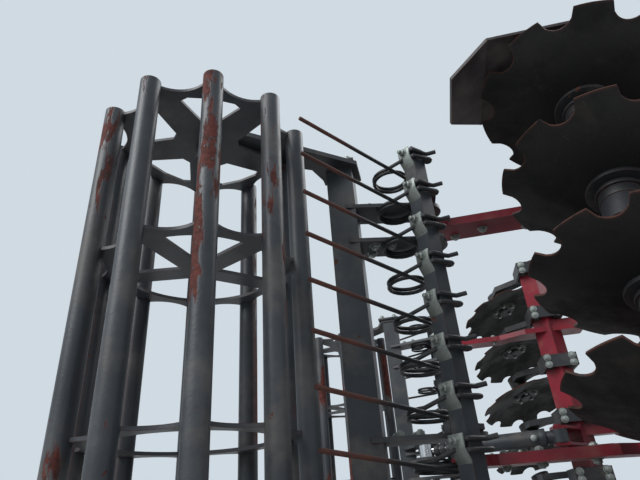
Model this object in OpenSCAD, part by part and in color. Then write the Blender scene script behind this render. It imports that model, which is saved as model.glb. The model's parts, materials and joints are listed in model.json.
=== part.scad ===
// Folding disc harrow for a tractor's three-point linkage, parked on its stands with both wings up.
// Lengths are in millimetres. X points forwards, Y to the left and Z up.
// Stations along X count forwards from the roller axis, and the last step moves the origin to mid-length.
// A wing is drawn in its working pose: d is the distance out from the centre plane, h the height above
// the soil. fold_up() then turns it about its hinge into the parked pose.

/* [Machine] */
// Station of the frontmost face, the lower link plates
front_end = 2680; // [2640:10:2800]
// Distance of each wing hinge from the centre plane
hinge_d = 442; // [430:1:460]
// Height of the wing hinges
hinge_h = 872; // [865:1:885]
// Running clearance round a pin
pin_gap = 0.05; // [0.02:0.01:0.1]
// Clearance between flat faces that slide past each other
face_gap = 0.5; // [0.3:0.1:1]

/* [Discs] */
// Disc diameter
disc_dia = 510; // [490:5:515]
// Blade thickness
disc_t = 6; // [5:0.5:8]
// Radius of the dished form
dish_r = 700; // [650:10:900]
// Notches round a disc
notch_count = 10; // [8:1:12]
// Radius of a notch
notch_r = 40; // [34:1:44]
// Depth of a notch
notch_depth = 36; // [28:1:42]
// Spacing of the discs in a row
disc_pitch = 250; // [240:5:260]
// Discs in each row of a wing
discs_per_row = 8; // [6:1:8]
// Angle of a disc to the direction of travel
attack_angle = 13; // [11:1:14]
// Angle by which a disc leans from upright
tilt_angle = 15; // [13:1:16]
// Height of a disc's rim centre
disc_h = 361; // [352:1:364]
// Station of the rear row
rear_row_x = 1007; // [1000:1:1014]
// Station of the front row
front_row_x = 1887; // [1880:1:1894]
// Radius of the turning hub
hub_r = 48; // [44:1:52]
// Length of the turning hub
hub_len = 45; // [40:1:50]
// Radius of the stub axle in the hub
stub_r = 22; // [18:1:26]

/* [Disc arms] */
// Side of the beams that carry the arms
beam_side = 90; // [80:1:95]
// Height of these beams
beam_h = 712; // [700:1:716]
// Distance of the rear beam ahead of its discs
rear_lead = 118; // [112:1:124]
// Distance of the front beam ahead of its discs
front_lead = 118; // [112:1:124]
// Outside of an arm's clamp
clamp_side = 156; // [150:1:160]
// Wall of a clamp
clamp_wall = 12; // [10:1:14]
// Width of a clamp along the beam
clamp_w = 60; // [56:1:62]
// Thickness of an arm
arm_t = 28; // [24:1:30]
// Distance from a disc's rim centre across to its arm
arm_offset = 129; // [127:1:131]
// Length of the fixed hub housing
housing_len = 60; // [56:1:64]

/* [Wing frame] */
// Inner end of the wing's beams
wing_inner_d = 16; // [12:1:30]
// Outer end of the wing's beams
wing_outer_d = 2005; // [2003:1:2010]
// Length by which the left wing's rear beam reaches past the others
left_beam_extra = 180; // [176:1:190]
// Width of the tubes that join the two beams
strut_w = 50; // [44:1:52]
// Depth of these tubes, and of the cross tubes between them
strut_h = 80; // [70:1:84]
// Station of the rear hinge
rear_hinge_x = 1290; // [1280:5:1310]
// Station of the front hinge
front_hinge_x = 1830; // [1810:5:1840]
// Depth of the plates that carry the roller arms
rail_depth = 100; // [90:1:110]
// Thickness of these plates
rail_t = 25; // [20:1:30]
// Station of the rear end of these plates
rail_rear_x = 538; // [534:1:542]
// Height of their underside behind the discs
rail_low_h = 602; // [598:1:606]
// Station of the front end of these plates
rail_front_x = 1290; // [1250:10:1330]

/* [Roller] */
// Outside diameter over the tubes
roller_dia = 540; // [520:5:545]
// Diameter of one tube
tube_dia = 48.3; // [42:0.1:60]
// Tubes round the roller
tube_count = 10; // [8:1:12]
// Angle of the first tube from straight down
tube_phase = 27.8; // [0:0.1:36]
// Inner end of the roller
roller_inner_d = 44; // [40:1:60]
// Outer end of the roller
roller_outer_d = 2000; // [1980:5:2010]
// Thickness of a ring plate
ring_t = 8; // [6:1:10]
// Length by which the tubes stand out of the end plates
tube_stickout = 6; // [3:1:8]
// Radius of the roller's stub axles
axle_r = 30; // [25:1:34]

/* [Roller carrier] */
// Side of the carrier's beam
carrier_side = 80; // [70:1:90]
// Station of the carrier's beam
carrier_x = 330; // [320:1:345]
// Height of the carrier's beam
carrier_h = 554; // [545:1:565]
// Station of the depth pivot
pivot_x = 568; // [564:1:572]
// Height of the depth pivot
pivot_h = 620; // [616:1:624]
// Depth of the twin arms
twin_depth = 100; // [90:1:110]
// Thickness of one of the twin arms
twin_t = 12; // [10:1:15]
// Distance between the middles of the twin arms
twin_gap = 116; // [100:1:120]
// Thickness of the side arms that hold the roller
side_arm_t = 15; // [12:1:18]
// Radius of the depth pivot pins
pivot_r = 17.5; // [15:0.5:20]

/* [Tines] */
// Side of the bar that carries the tines
tine_bar_side = 45; // [40:1:50]
// Station of the bar
tine_bar_x = 561; // [557:1:565]
// Height of the bar
tine_bar_h = 524; // [515:1:535]
// Distance out of the bar's outer end
tine_bar_end = 2030; // [2026:1:2034]
// Tines on one wing
tine_count = 17; // [12:1:17]
// Spacing of the tines
tine_pitch = 116.5; // [112:0.5:117]
// Distance out of the first tine's coil
first_tine_d = 99; // [90:1:104]
// Distance from a coil out to the clamp that holds its wire
tine_rise = 38; // [34:1:42]
// Wire diameter
tine_wire = 11; // [9:0.5:12]
// Mean diameter of a coil
coil_dia = 100; // [90:2:102]
// Turns in a coil
coil_turns = 2; // [2:1:3]
// Station of a coil's axis
coil_x = 482; // [474:1:484]
// Height of a coil's axis
coil_h = 560; // [550:1:570]
// Thickness of the plate that clamps a tine to the bar
clamp_t = 13; // [12:0.5:15]
// Width of this plate
tine_clamp_w = 45; // [40:1:55]
// Station of a tine's tip
tip_x = 279; // [277:1:292]
// Height of a tine's tip
tip_h = 232; // [222:1:240]

/* [Side plates] */
// Distance out of the right wing's side plate
plate_d = 2075; // [2073:1:2085]
// Distance out of the left wing's side plate
left_plate_d = 2020; // [2018:1:2030]
// Thickness of a side plate
plate_t = 8; // [6:1:10]

/* [Fold cylinders] */
// Height of the barrel's pin
fold_pin_h = 1140; // [1130:1:1150]
// Distance out of the wing's lug
lug_d = 560; // [555:1:570]
// Height of the wing's lug
lug_h = 940; // [935:1:945]
// Station of the right wing's cylinder
fold_right_x = 1430; // [1400:5:1450]
// Station of the left wing's cylinder
fold_left_x = 1620; // [1600:5:1650]
// Distance of a barrel's rear end from its pin
barrel_start = 60; // [58:1:64]
// Outside radius of a barrel
barrel_r = 40; // [36:1:42]
// Radius of a rod
rod_r = 20; // [18:1:22]
// Radius of a cylinder's pins
fold_pin_r = 17.5; // [15:0.5:20]
// Width of a cylinder's eyes
eye_w = 54; // [48:1:60]
// Radius of a cylinder's eyes
eye_r = 34; // [32:1:36]

/* [Depth cylinders] */
// Distance out of the right wing's depth cylinder
right_depth_d = 950; // [944:1:990]
// Distance out of the left wing's depth cylinder
left_depth_d = 1300; // [1292:1:1310]
// Station of the depth cylinder's barrel pin
depth_pin_x = 1010; // [1000:5:1020]
// Height of the depth cylinder's barrel pin
depth_pin_h = 880; // [870:1:890]
// Station of the pin on the carrier
depth_eye_x = 430; // [420:5:440]
// Height of the pin on the carrier
depth_eye_h = 760; // [750:1:770]
// Outside radius of this barrel
depth_barrel_r = 35; // [32:1:38]
// Radius of this rod
depth_rod_r = 17.5; // [16:0.5:20]

/* [Centre frame] */
// Side of the centre frame's beams
centre_side = 120; // [110:1:124]
// Underside of these beams
centre_base_h = 805; // [802:1:808]
// Station of the long beams' rear end
spine_rear_x = 1050; // [1040:5:1060]
// Thickness of a hinge lug
lug_t = 25; // [20:1:30]
// Radius of a hinge lug
hinge_lug_r = 42; // [38:1:44]
// Width of the wing's hinge boss
hinge_boss_w = 60; // [50:1:70]
// Radius of the hinge pins
hinge_pin_r = 20; // [18:1:22]

/* [Headstock] */
// Station of the headstock's cross tube
cross_x = 2500; // [2480:5:2520]
// Height of the cross tube's middle
cross_h = 640; // [620:5:660]
// Side of the cross tube
cross_side = 120; // [110:5:130]
// Distance of the lower link pins from the centre plane
link_pin_d = 435; // [412:1:483]
// Radius of the lower link pins
link_pin_r = 14; // [14:0.5:18.3]
// Open length of a lower link pin
link_pin_len = 90; // [80:1:100]
// Thickness of the plate that holds a lower link pin
link_cheek_t = 30; // [25:1:35]
// Station of the lower link pins
link_pin_x = 2625; // [2600:5:2640]
// Radius of the top link bores
top_bore_r = 12.75; // [12.75:0.25:16]
// Height of the top link bore above the lower link pins
mast_height = 610; // [560:5:700]
// Distance between the tower's two plates
tower_gap = 110; // [90:5:130]
// Thickness of a tower plate
tower_t = 25; // [20:1:30]

/* [Stands] */
// Side of a stand's leg
leg_side = 60; // [55:1:65]
// Side of a stand's foot
foot_side = 110; // [96:2:110]
// Thickness of a foot
foot_t = 12; // [10:1:16]
// Wall of a stand's sleeve
sleeve_wall = 8; // [6:1:10]
// Length of a wing sleeve each side of the plate it hangs from
sleeve_reach = 45; // [35:1:45]
// Clearance of a leg in its sleeve, each side
leg_gap = 0.3; // [0.2:0.1:0.5]
// Station of the front stands
front_leg_x = 2390; // [2380:5:2400]
// Distance of the front stands from the centre plane
front_leg_d = 300; // [280:5:320]
// Height of the front legs' top
front_leg_top = 820; // [780:10:900]
// Station of the right wing's stand
right_leg_x = 676; // [674:1:678]
// Station of the left wing's stand
left_leg_x = 766; // [764:1:768]
// Height of the wing stands in the working pose
wing_leg_h = 562; // [558:1:562]
// Distance out of the wing legs' far end
wing_leg_far_d = 700; // [680:10:740]

/* [Hidden] */
$fn = 64;

RIGHT = -1;
LEFT = 1;
roller_r = roller_dia / 2;
tube_r = tube_dia / 2;
tube_circle = roller_r - tube_r;
mid_x = (front_end - roller_r) / 2;
rear_beam_x = rear_row_x + rear_lead;
front_beam_x = front_row_x + front_lead;
beam_half_diagonal = beam_side / sqrt(2);
dish_depth = dish_r - sqrt(pow(dish_r, 2) - pow(disc_dia / 2, 2));
// Distance out of the roller arms' plates, of each row's first disc and of the first strut: [right, left]
rail_d = [[545, 1156, 1809], [545, 1250, 1809]];
rear_first = [219, 281];
front_first = [90, 160];
strut_first = [263, 330];
strut_pitch = 2 * disc_pitch;
struts_per_wing = 4;
spine_d = tower_gap / 2 + tower_t + centre_side / 2;
fold_pin_d = spine_d;
// Distance of a coil's wire ends from its axis, and of a clamped wire from the bar's axis along X and Z
coil_r = coil_dia / 2;
clamp_hold = (tine_bar_side + tine_wire) / 2 / sqrt(2);
// Stations of the ring plates from the inner to the outer end
ring_count = 6;
ring_step = (roller_outer_d - roller_inner_d - ring_t) / (ring_count - 1);

red = [0.45, 0.05, 0.10];
grey = [0.24, 0.26, 0.28];
black = [0.10, 0.09, 0.09];
zinc = [0.62, 0.65, 0.62];

function depth_d(side) = side < 0 ? right_depth_d : left_depth_d;

// Puts the machine's stations about its mid-length
module placed() {
    translate([-mid_x, 0, 0]) children();
}

// Turns a wing from its working pose about its hinge until it stands upright
module fold_up(side) {
    placed()
        translate([0, side * hinge_d, hinge_h])
            rotate([side * 90, 0, 0])
                translate([0, -side * hinge_d, -hinge_h]) children();
}

// A wing piece that is the same on both sides, drawn with d along +Y
module wing(side) {
    fold_up(side) mirror([0, side < 0 ? 1 : 0, 0]) children();
}

// Plate outlined in station and height, t thick, with its middle at d
module side_profile(points, d, t) {
    translate([0, d + t / 2, 0]) rotate([90, 0, 0]) linear_extrude(height = t) polygon(points);
}

// Round bar across the machine, from d1 to d2
module cross_bar(x, h, r, d1, d2) {
    translate([x, d1, h]) rotate([-90, 0, 0]) cylinder(r = r, h = d2 - d1);
}

// Round bar along the machine, from x1 to x2
module long_bar(d, h, r, x1, x2) {
    translate([x1, d, h]) rotate([0, 90, 0]) cylinder(r = r, h = x2 - x1);
}

// Box from one corner to the other
module block(low, high) {
    translate(low) cube(high - low);
}

// Turns the local Z axis to a disc's axis: rear discs face right and front discs face left
module disc_axis(facing) {
    rotate([0, 0, facing * (90 - attack_angle)]) rotate([0, 90 - tilt_angle, 0]) children();
}

module blade() {
    translate([0, 0, -dish_depth]) difference() {
        union() {
            rotate_extrude($fn = 96) intersection() {
                translate([0, dish_r]) difference() {
                    circle(r = dish_r + disc_t / 2, $fn = 720);
                    circle(r = dish_r - disc_t / 2, $fn = 720);
                }
                translate([0, -disc_t]) square([disc_dia / 2, 2 * dish_depth]);
            }
            translate([0, 0, -hub_len]) cylinder(r = hub_r, h = hub_len + disc_t);
            translate([0, 0, -disc_t]) cylinder(r = hub_r + 24, h = 3 * disc_t);
        }
        for (i = [0:notch_count - 1])
            rotate([0, 0, i * 360 / notch_count])
                translate([disc_dia / 2 + notch_r - notch_depth, 0, -dish_depth])
                    cylinder(r = notch_r, h = 3 * dish_depth);
        translate([0, 0, -hub_len - 1]) cylinder(r = stub_r + pin_gap, h = hub_len - 4);
    }
}

module disc(side, x, d, facing) {
    color(black) fold_up(side) translate([x, side * d, disc_h]) disc_axis(facing) blade();
}

module rear_disc(side, number) {
    disc(side, rear_row_x, rear_first[side < 0 ? 0 : 1] + (number - 1) * disc_pitch, RIGHT);
}

module front_disc(side, number) {
    disc(side, front_row_x, front_first[side < 0 ? 0 : 1] + (number - 1) * disc_pitch, LEFT);
}

// One arm with its clamp, rubber cords, hub housing and stub axle, for a disc whose rim centre is at
// x and y. The clamp reaches from the arm towards -Y or +Y, as clamp_way says.
module disc_arm(x, y, beam_x, facing, clamp_way) {
    arm_y = y - facing * arm_offset;
    clamp_y = arm_y + clamp_way * (clamp_w - arm_t) / 2;
    inside = clamp_side / 2 - clamp_wall;
    cord_r = (inside * sqrt(2) - beam_side / 2) / (1 + sqrt(2));
    cord_reach = (beam_side / 2 + cord_r) / sqrt(2);
    low = beam_h - clamp_side / 2 + 6;
    hub = [x, y, disc_h] + housing_shift(facing);
    translate([beam_x, clamp_y, beam_h]) difference() {
        cube([clamp_side, clamp_w, clamp_side], center = true);
        cube([2 * inside, clamp_w + 2, 2 * inside], center = true);
    }
    for (cx = [-1, 1])
        for (cz = [-1, 1])
            cross_bar(beam_x + cx * cord_reach, beam_h + cz * cord_reach, cord_r,
                clamp_y - clamp_w / 2 + 5, clamp_y + clamp_w / 2 - 5);
    side_profile([[beam_x - 60, low], [beam_x + 60, low], [beam_x + 45, low - 60],
        [hub[0] + 70, hub[2] + 130], [hub[0] + 34, hub[2] - 10], [hub[0] - 34, hub[2] - 10],
        [hub[0] - 20, hub[2] + 150], [beam_x - 62, low - 80]], arm_y, arm_t);
    translate([x, y, disc_h]) disc_axis(facing) {
        translate([0, 0, -dish_depth - hub_len - face_gap - housing_len])
            cylinder(r = hub_r - 2, h = housing_len);
        translate([0, 0, -dish_depth - hub_len - housing_len / 2])
            cylinder(r = stub_r, h = hub_len - 8 + housing_len / 2);
    }
}

// Way from a disc's rim centre to the middle of its housing
function housing_shift(facing) = -(dish_depth + hub_len + housing_len / 2)
    * [cos(tilt_angle) * sin(attack_angle), facing * cos(tilt_angle) * cos(attack_angle), sin(tilt_angle)];

// Way in which a clamp reaches from its arm: inwards, but outwards past a plate or the beam's inner end
function clamp_way(side, arm_d, plates) =
    let (inner = arm_d + arm_t / 2 - clamp_w)
        inner < wing_inner_d || len([for (p = plates) if (p > inner - rail_t && p < arm_d + rail_t) p]) > 0
            ? side : -side;

module disc_arms(side) {
    hand = side < 0 ? 0 : 1;
    color(grey) fold_up(side) for (i = [0:discs_per_row - 1]) {
        rear_d = rear_first[hand] + i * disc_pitch;
        front_d = front_first[hand] + i * disc_pitch;
        disc_arm(rear_row_x, side * rear_d, rear_beam_x, RIGHT,
            clamp_way(side, rear_d + side * arm_offset, rail_d[hand]));
        disc_arm(front_row_x, side * front_d, front_beam_x, LEFT,
            clamp_way(side, front_d - side * arm_offset, []));
    }
}

// Beam of a wing, turned onto its edge, which reaches extra further out than the others
module wing_beam(x, extra) {
    translate([x, wing_inner_d, beam_h]) rotate([0, 45, 0])
        translate([-beam_side / 2, 0, -beam_side / 2])
            cube([beam_side, wing_outer_d + extra - wing_inner_d, beam_side]);
}

// Hinge boss of the wing on one beam, with the pin that goes through both of the centre frame's lugs
module wing_hinge(x) {
    translate([x - hinge_boss_w / 2, 0, 0]) rotate([90, 0, 90]) linear_extrude(height = hinge_boss_w)
        polygon([[hinge_d - hinge_lug_r, hinge_h], [hinge_d + hinge_lug_r, hinge_h],
            [hinge_d + 120, beam_h], [hinge_d - hinge_lug_r, beam_h]]);
    long_bar(hinge_d, hinge_h, hinge_lug_r, x - hinge_boss_w / 2, x + hinge_boss_w / 2);
    long_bar(hinge_d, hinge_h, hinge_pin_r, x - hinge_boss_w / 2 - lug_t - 8, x + hinge_boss_w / 2 + lug_t + 8);
}

// Two plates that take the eye of the fold cylinder's rod
module fold_lug(x) {
    for (s = [-1, 1]) {
        x_in = x + s * (eye_w / 2 + face_gap + 7.5) - 7.5;
        translate([x_in, 0, 0]) rotate([90, 0, 90]) linear_extrude(height = 15)
            polygon([[lug_d - 38, lug_h], [lug_d + 38, lug_h], [lug_d + strut_w / 2, beam_h],
                [lug_d - strut_w / 2, beam_h]]);
        long_bar(lug_d, lug_h, 38, x_in, x_in + 15);
        long_bar(lug_d, lug_h, fold_pin_r + 4, x_in + (s < 0 ? -10 : 15), x_in + (s < 0 ? 0 : 25));
    }
}

// Plate that carries a pair of the roller's arms, low behind the discs and up against the rear beam
module rail(d) {
    low = beam_h - rail_depth / 2 - 20;
    top = beam_h + rail_depth / 2;
    difference() {
        side_profile([[rail_rear_x, pivot_h - 32], [pivot_x + 34, pivot_h - 32], [pivot_x + 60, rail_low_h],
            [rear_row_x - 110, rail_low_h], [rear_row_x - 60, low], [rail_front_x, low],
            [rail_front_x, beam_h], [rail_front_x - 50, top], [rear_row_x, top],
            [rear_row_x - 120, rail_low_h + rail_depth], [rail_rear_x, rail_low_h + rail_depth]], d, rail_t);
        cross_bar(pivot_x, pivot_h, pivot_r + pin_gap, d - rail_t, d + rail_t);
    }
}

// Sleeve of a wing's stand, which hangs from the plate at d
module leg_sleeve(x, d) {
    outer = leg_side / 2 + leg_gap + sleeve_wall;
    inner = leg_side / 2 + leg_gap;
    d1 = d - sleeve_reach;
    d2 = d + sleeve_reach;
    difference() {
        block([x - outer, d1, wing_leg_h - outer], [x + outer, d2, wing_leg_h + outer]);
        block([x - inner, d1 - 1, wing_leg_h - inner], [x + inner, d2 + 1, wing_leg_h + inner]);
    }
    block([x - outer, d - rail_t / 2, wing_leg_h + outer - 2], [x + outer, d + rail_t / 2, rail_low_h + 2]);
}

// Square tube along the machine or across it, with its middle at beam height
module strut(x1, x2, d1, d2) {
    block([x1, d1, beam_h - strut_h / 2], [x2, d2, beam_h + strut_h / 2]);
}

module wing_frame(side) {
    hand = side < 0 ? 0 : 1;
    first = strut_first[hand];
    color(red) wing(side) {
        wing_beam(rear_beam_x, side < 0 ? 0 : left_beam_extra);
        wing_beam(front_beam_x, 0);
        for (i = [0:struts_per_wing - 1])
            let (d = first + i * strut_pitch)
                strut(rear_beam_x, front_beam_x, d - strut_w / 2, d + strut_w / 2);
        for (x = [rear_hinge_x, front_hinge_x]) {
            strut(x - strut_h / 2, x + strut_h / 2, first, first + strut_pitch);
            wing_hinge(x);
        }
        strut(rear_hinge_x, front_hinge_x, lug_d - strut_w / 2, lug_d + strut_w / 2);
        fold_lug([fold_right_x, fold_left_x][hand]);
        for (d = rail_d[hand]) rail(d);
        leg_sleeve([right_leg_x, left_leg_x][hand], rail_d[hand][0]);
        depth_bracket(depth_d(side));
    }
}

// Twin plates on the rear beam for the depth cylinder's barrel
module depth_bracket(d) {
    for (s = [-1, 1])
        side_profile([[rear_beam_x - 50, beam_h], [rear_beam_x + 50, beam_h],
            [depth_pin_x + 30, depth_pin_h + 28], [depth_pin_x - 25, depth_pin_h + 28],
            [depth_pin_x - 30, depth_pin_h - 28]], d + s * (eye_w / 2 + face_gap + 6), 12);
    cross_bar(depth_pin_x, depth_pin_h, pivot_r, d - eye_w / 2 - 22, d + eye_w / 2 + 22);
}

// Plate beside an outermost disc, of the rear row on the right wing and of the front row on the left one,
// bent inwards behind the disc, with its hanger from the beam's end
module side_plate(side) {
    shift = side < 0 ? 0 : front_row_x - rear_row_x;
    beam_x = side < 0 ? rear_beam_x : front_beam_x;
    d = side < 0 ? plate_d : left_plate_d;
    bend_x = 776 + shift;
    tail = 106;
    color(black) wing(side) {
        side_profile([[bend_x, 189], [bend_x, 510], [1000 + shift, 512], [beam_x - 40, 660],
            [beam_x + 40, 660], [beam_x + 40, 600], [1090 + shift, 296], [972 + shift, 192]], d, plate_t);
        translate([bend_x, d, 0]) rotate([0, 0, 25]) translate([-tail, -plate_t / 2, 0])
            rotate([90, 0, 0]) translate([0, 0, -plate_t])
                linear_extrude(height = plate_t)
                    polygon([[tail, 189], [0, 250], [0, 427], [tail, 510]]);
        block([beam_x - 40, wing_outer_d, beam_h - 90], [beam_x + 40, wing_outer_d + 10, beam_h + 60]);
        block([beam_x - 40, wing_outer_d, beam_h - 90], [beam_x + 40, d, beam_h - 80]);
    }
}

// A leg with its foot, standing on the floor at the origin
module leg(top) {
    translate([-foot_side / 2, -foot_side / 2, 0]) cube([foot_side, foot_side, foot_t]);
    translate([-leg_side / 2, -leg_side / 2, 0]) cube([leg_side, leg_side, top]);
}

module front_stand(side) {
    color(grey) placed() translate([front_leg_x, side * front_leg_d, 0]) leg(front_leg_top);
}

module wing_stand(side) {
    y = hinge_d + hinge_h - wing_leg_h;
    top = hinge_h - hinge_d + wing_leg_far_d;
    color(grey) placed()
        translate([side < 0 ? right_leg_x : left_leg_x, side * y, 0]) leg(top);
}

// Twin arm from the depth pivot down to the carrier's beam
module twin_arm(d) {
    slope = atan2(pivot_h - carrier_h, pivot_x - carrier_x);
    reach = sqrt(pow(pivot_h - carrier_h, 2) + pow(pivot_x - carrier_x, 2));
    for (s = [-1, 1])
        translate([carrier_x, d + s * twin_gap / 2, carrier_h]) rotate([0, -slope, 0]) {
            translate([0, -twin_t / 2, -twin_depth / 2]) cube([reach, twin_t, twin_depth]);
            translate([reach, -twin_t / 2, 0]) rotate([-90, 0, 0]) cylinder(r = twin_depth / 2, h = twin_t);
        }
    cross_bar(pivot_x, pivot_h, pivot_r, d - (twin_gap + twin_t) / 2, d + (twin_gap + twin_t) / 2);
    for (s = [-1, 1])
        cross_bar(pivot_x, pivot_h, pivot_r + 10, d + (s < 0 ? -twin_gap / 2 : rail_t / 2 + face_gap),
            d + (s < 0 ? -rail_t / 2 - face_gap : twin_gap / 2));
}

module side_arm(d) {
    side_profile([[-55, 270], [-45, 230], [0, 210], [45, 225], [carrier_x + 60, carrier_h - 45],
        [carrier_x + 60, carrier_h + 45], [carrier_x - 45, carrier_h + 45], [carrier_x - 80, carrier_h - 60],
        [-30, 325]], d, side_arm_t);
}

module roller_carrier(side) {
    inner = roller_inner_d - 12 - side_arm_t / 2;
    outer = roller_outer_d + 12 + side_arm_t / 2;
    color(grey) wing(side) {
        block([carrier_x - carrier_side / 2, inner, carrier_h - carrier_side / 2],
            [carrier_x + carrier_side / 2, outer, carrier_h + carrier_side / 2]);
        for (d = rail_d[side < 0 ? 0 : 1]) twin_arm(d);
        side_arm(inner);
        side_arm(outer);
        cross_bar(0, roller_r, axle_r, inner, roller_inner_d + 60);
        cross_bar(0, roller_r, axle_r, roller_outer_d - 60, outer);
        depth_lug(depth_d(side));
    }
}

// Plates on the carrier's beam that take the eye of the depth cylinder's rod
module depth_lug(d) {
    for (s = [-1, 1])
        side_profile([[carrier_x - 40, carrier_h], [carrier_x + 40, carrier_h], [depth_eye_x + 60, depth_eye_h - 60],
            [depth_eye_x + 45, depth_eye_h + 35], [depth_eye_x - 45, depth_eye_h + 35],
            [depth_eye_x - 60, depth_eye_h - 60]],
            d + s * (eye_w / 2 + face_gap + 6), 12);
}

module ring_plate(d, kind) {
    translate([0, d, roller_r]) rotate([-90, 0, 0]) rotate([0, 0, 90 - tube_phase]) difference() {
        cylinder(r = tube_circle, h = ring_t);
        for (i = [0:tube_count - 1])
            rotate([0, 0, (i + 0.5) * 360 / tube_count])
                translate([tube_circle + 54, 0, -1]) cylinder(r = 90, h = ring_t + 2);
        if (kind == "end") {
            translate([0, 0, -1]) cylinder(r = axle_r + pin_gap, h = ring_t + 2);
            for (i = [0:4])
                rotate([0, 0, i * 72]) translate([0, 0, -1]) linear_extrude(height = ring_t + 2)
                    polygon([[90, -12], [166, -74], [180, -58], [187, 0], [180, 58], [166, 74], [90, 12]]);
        }
        if (kind == "star")
            difference() {
                translate([0, 0, -1]) cylinder(r = 185, h = ring_t + 2);
                for (i = [0:4])
                    rotate([0, 0, i * 72 + 36]) translate([0, -26, -2]) cube([200, 52, ring_t + 4]);
            }
        if (kind == "plain")
            translate([0, 0, -1]) cylinder(r = 180, h = ring_t + 2);
    }
}

module roller(side) {
    kinds = ["end", "star", "plain", "plain", "star", "end"];
    color(grey) wing(side) {
        for (i = [0:tube_count - 1])
            let (a = tube_phase + i * 360 / tube_count)
                cross_bar(tube_circle * sin(a), roller_r - tube_circle * cos(a), tube_r,
                    roller_inner_d - tube_stickout, roller_outer_d + tube_stickout);
        for (i = [0:ring_count - 1]) ring_plate(roller_inner_d + i * ring_step, kinds[i]);
    }
}

// Plates on the bar's top corner, which are bolted to the outer faces of a pair of twin arms
module tine_hanger(d) {
    top = tine_bar_h + tine_bar_side / sqrt(2);
    for (s = [-1, 1])
        side_profile([[tine_bar_x - 20, top - 22], [tine_bar_x, top - 2], [tine_bar_x + 26, top - 28],
            [tine_bar_x + 46, top - 8], [tine_bar_x + 40, pivot_h + 20], [tine_bar_x - 20, pivot_h + 20]],
            d + s * (twin_gap / 2 + twin_t), twin_t);
}

module tine_bar(side) {
    color(grey) wing(side) {
        translate([tine_bar_x, roller_inner_d, tine_bar_h]) rotate([0, 45, 0])
            translate([-tine_bar_side / 2, 0, -tine_bar_side / 2])
                cube([tine_bar_side, tine_bar_end - roller_inner_d, tine_bar_side]);
        for (d = rail_d[side < 0 ? 0 : 1]) tine_hanger(d);
    }
}

// Straight wire between two points given as [station, distance out, height]
module wire(a, b) {
    v = b - a;
    len = norm(v);
    translate(a) rotate([0, acos(v[2] / len), atan2(v[1], v[0])]) cylinder(d = tine_wire - 0.5, h = len, $fn = 16);
}

// Tine whose coil is at d: its leg slopes down to the tip and its tail runs out to the clamp on the bar
module tine(d) {
    step = tine_wire * 0.9;
    reach = (coil_turns - 1) / 2 * step;
    translate([coil_x, d, coil_h]) rotate([90, 0, 0]) rotate_extrude($fn = 40)
        for (i = [0:coil_turns - 1])
            translate([coil_r, i * step - reach]) circle(d = tine_wire, $fn = 16);
    wire([coil_x + 0.8 * coil_r, d - reach, coil_h - 0.6 * coil_r], [tip_x, d + tine_rise - 11, tip_h]);
    wire([coil_x - 0.4 * coil_r, d + reach, coil_h - 0.917 * coil_r],
        [tine_bar_x - clamp_hold, d + tine_rise, tine_bar_h - clamp_hold]);
    tine_clamp(d + tine_rise);
}

// Plate on the bar's lower rear face, which holds the end of a tine's wire
module tine_clamp(d) {
    translate([tine_bar_x, d, tine_bar_h]) rotate([0, 45, 0])
        translate([-18, -tine_clamp_w / 2, -tine_bar_side / 2 - clamp_t])
            cube([36, tine_clamp_w, clamp_t]);
}

module tines(side) {
    color(black) wing(side) for (i = [0:tine_count - 1]) tine(first_tine_d + i * tine_pitch);
}

module fold_barrel(side) {
    x = side < 0 ? fold_right_x : fold_left_x;
    pin = [-side * fold_pin_d, fold_pin_h];
    eye = fold_eye(side);
    v = eye - pin;
    color(grey) placed() translate([x, pin[0], pin[1]]) rotate([atan2(v[1], v[0]), 0, 0]) {
        difference() {
            union() {
                long_bar(0, 0, eye_r, -eye_w / 2, eye_w / 2);
                rotate([-90, 0, 0]) cylinder(r = eye_w / 2 - 1, h = barrel_start + 5);
                translate([0, barrel_start, 0]) rotate([-90, 0, 0]) cylinder(r = barrel_r, h = 385);
            }
            long_bar(0, 0, fold_pin_r + pin_gap, -eye_w, eye_w);
            translate([0, barrel_start + 8, 0]) rotate([-90, 0, 0]) cylinder(r = rod_r + pin_gap, h = 500);
        }
    }
}

function fold_eye(side) = [side * (hinge_d - (lug_h - hinge_h)), hinge_h + (lug_d - hinge_d)];

module fold_rod(side) {
    x = side < 0 ? fold_right_x : fold_left_x;
    pin = [-side * fold_pin_d, fold_pin_h];
    eye = fold_eye(side);
    v = eye - pin;
    len = norm(v);
    color(zinc) placed() translate([x, pin[0], pin[1]]) rotate([atan2(v[1], v[0]), 0, 0]) difference() {
        union() {
            translate([0, len, 0]) long_bar(0, 0, eye_r, -eye_w / 2, eye_w / 2);
            translate([0, len - 460, 0]) rotate([-90, 0, 0]) cylinder(r = rod_r, h = 450);
        }
        translate([0, len, 0]) long_bar(0, 0, fold_pin_r + pin_gap, -eye_w, eye_w);
    }
}

// Places the depth cylinder with its own +X from the barrel's pin to the rod's eye
module depth_line(d) {
    v = [depth_eye_x - depth_pin_x, depth_eye_h - depth_pin_h];
    translate([depth_pin_x, d, depth_pin_h]) rotate([0, -atan2(v[1], v[0]), 0]) children();
}

depth_len = norm([depth_eye_x - depth_pin_x, depth_eye_h - depth_pin_h]);

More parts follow.
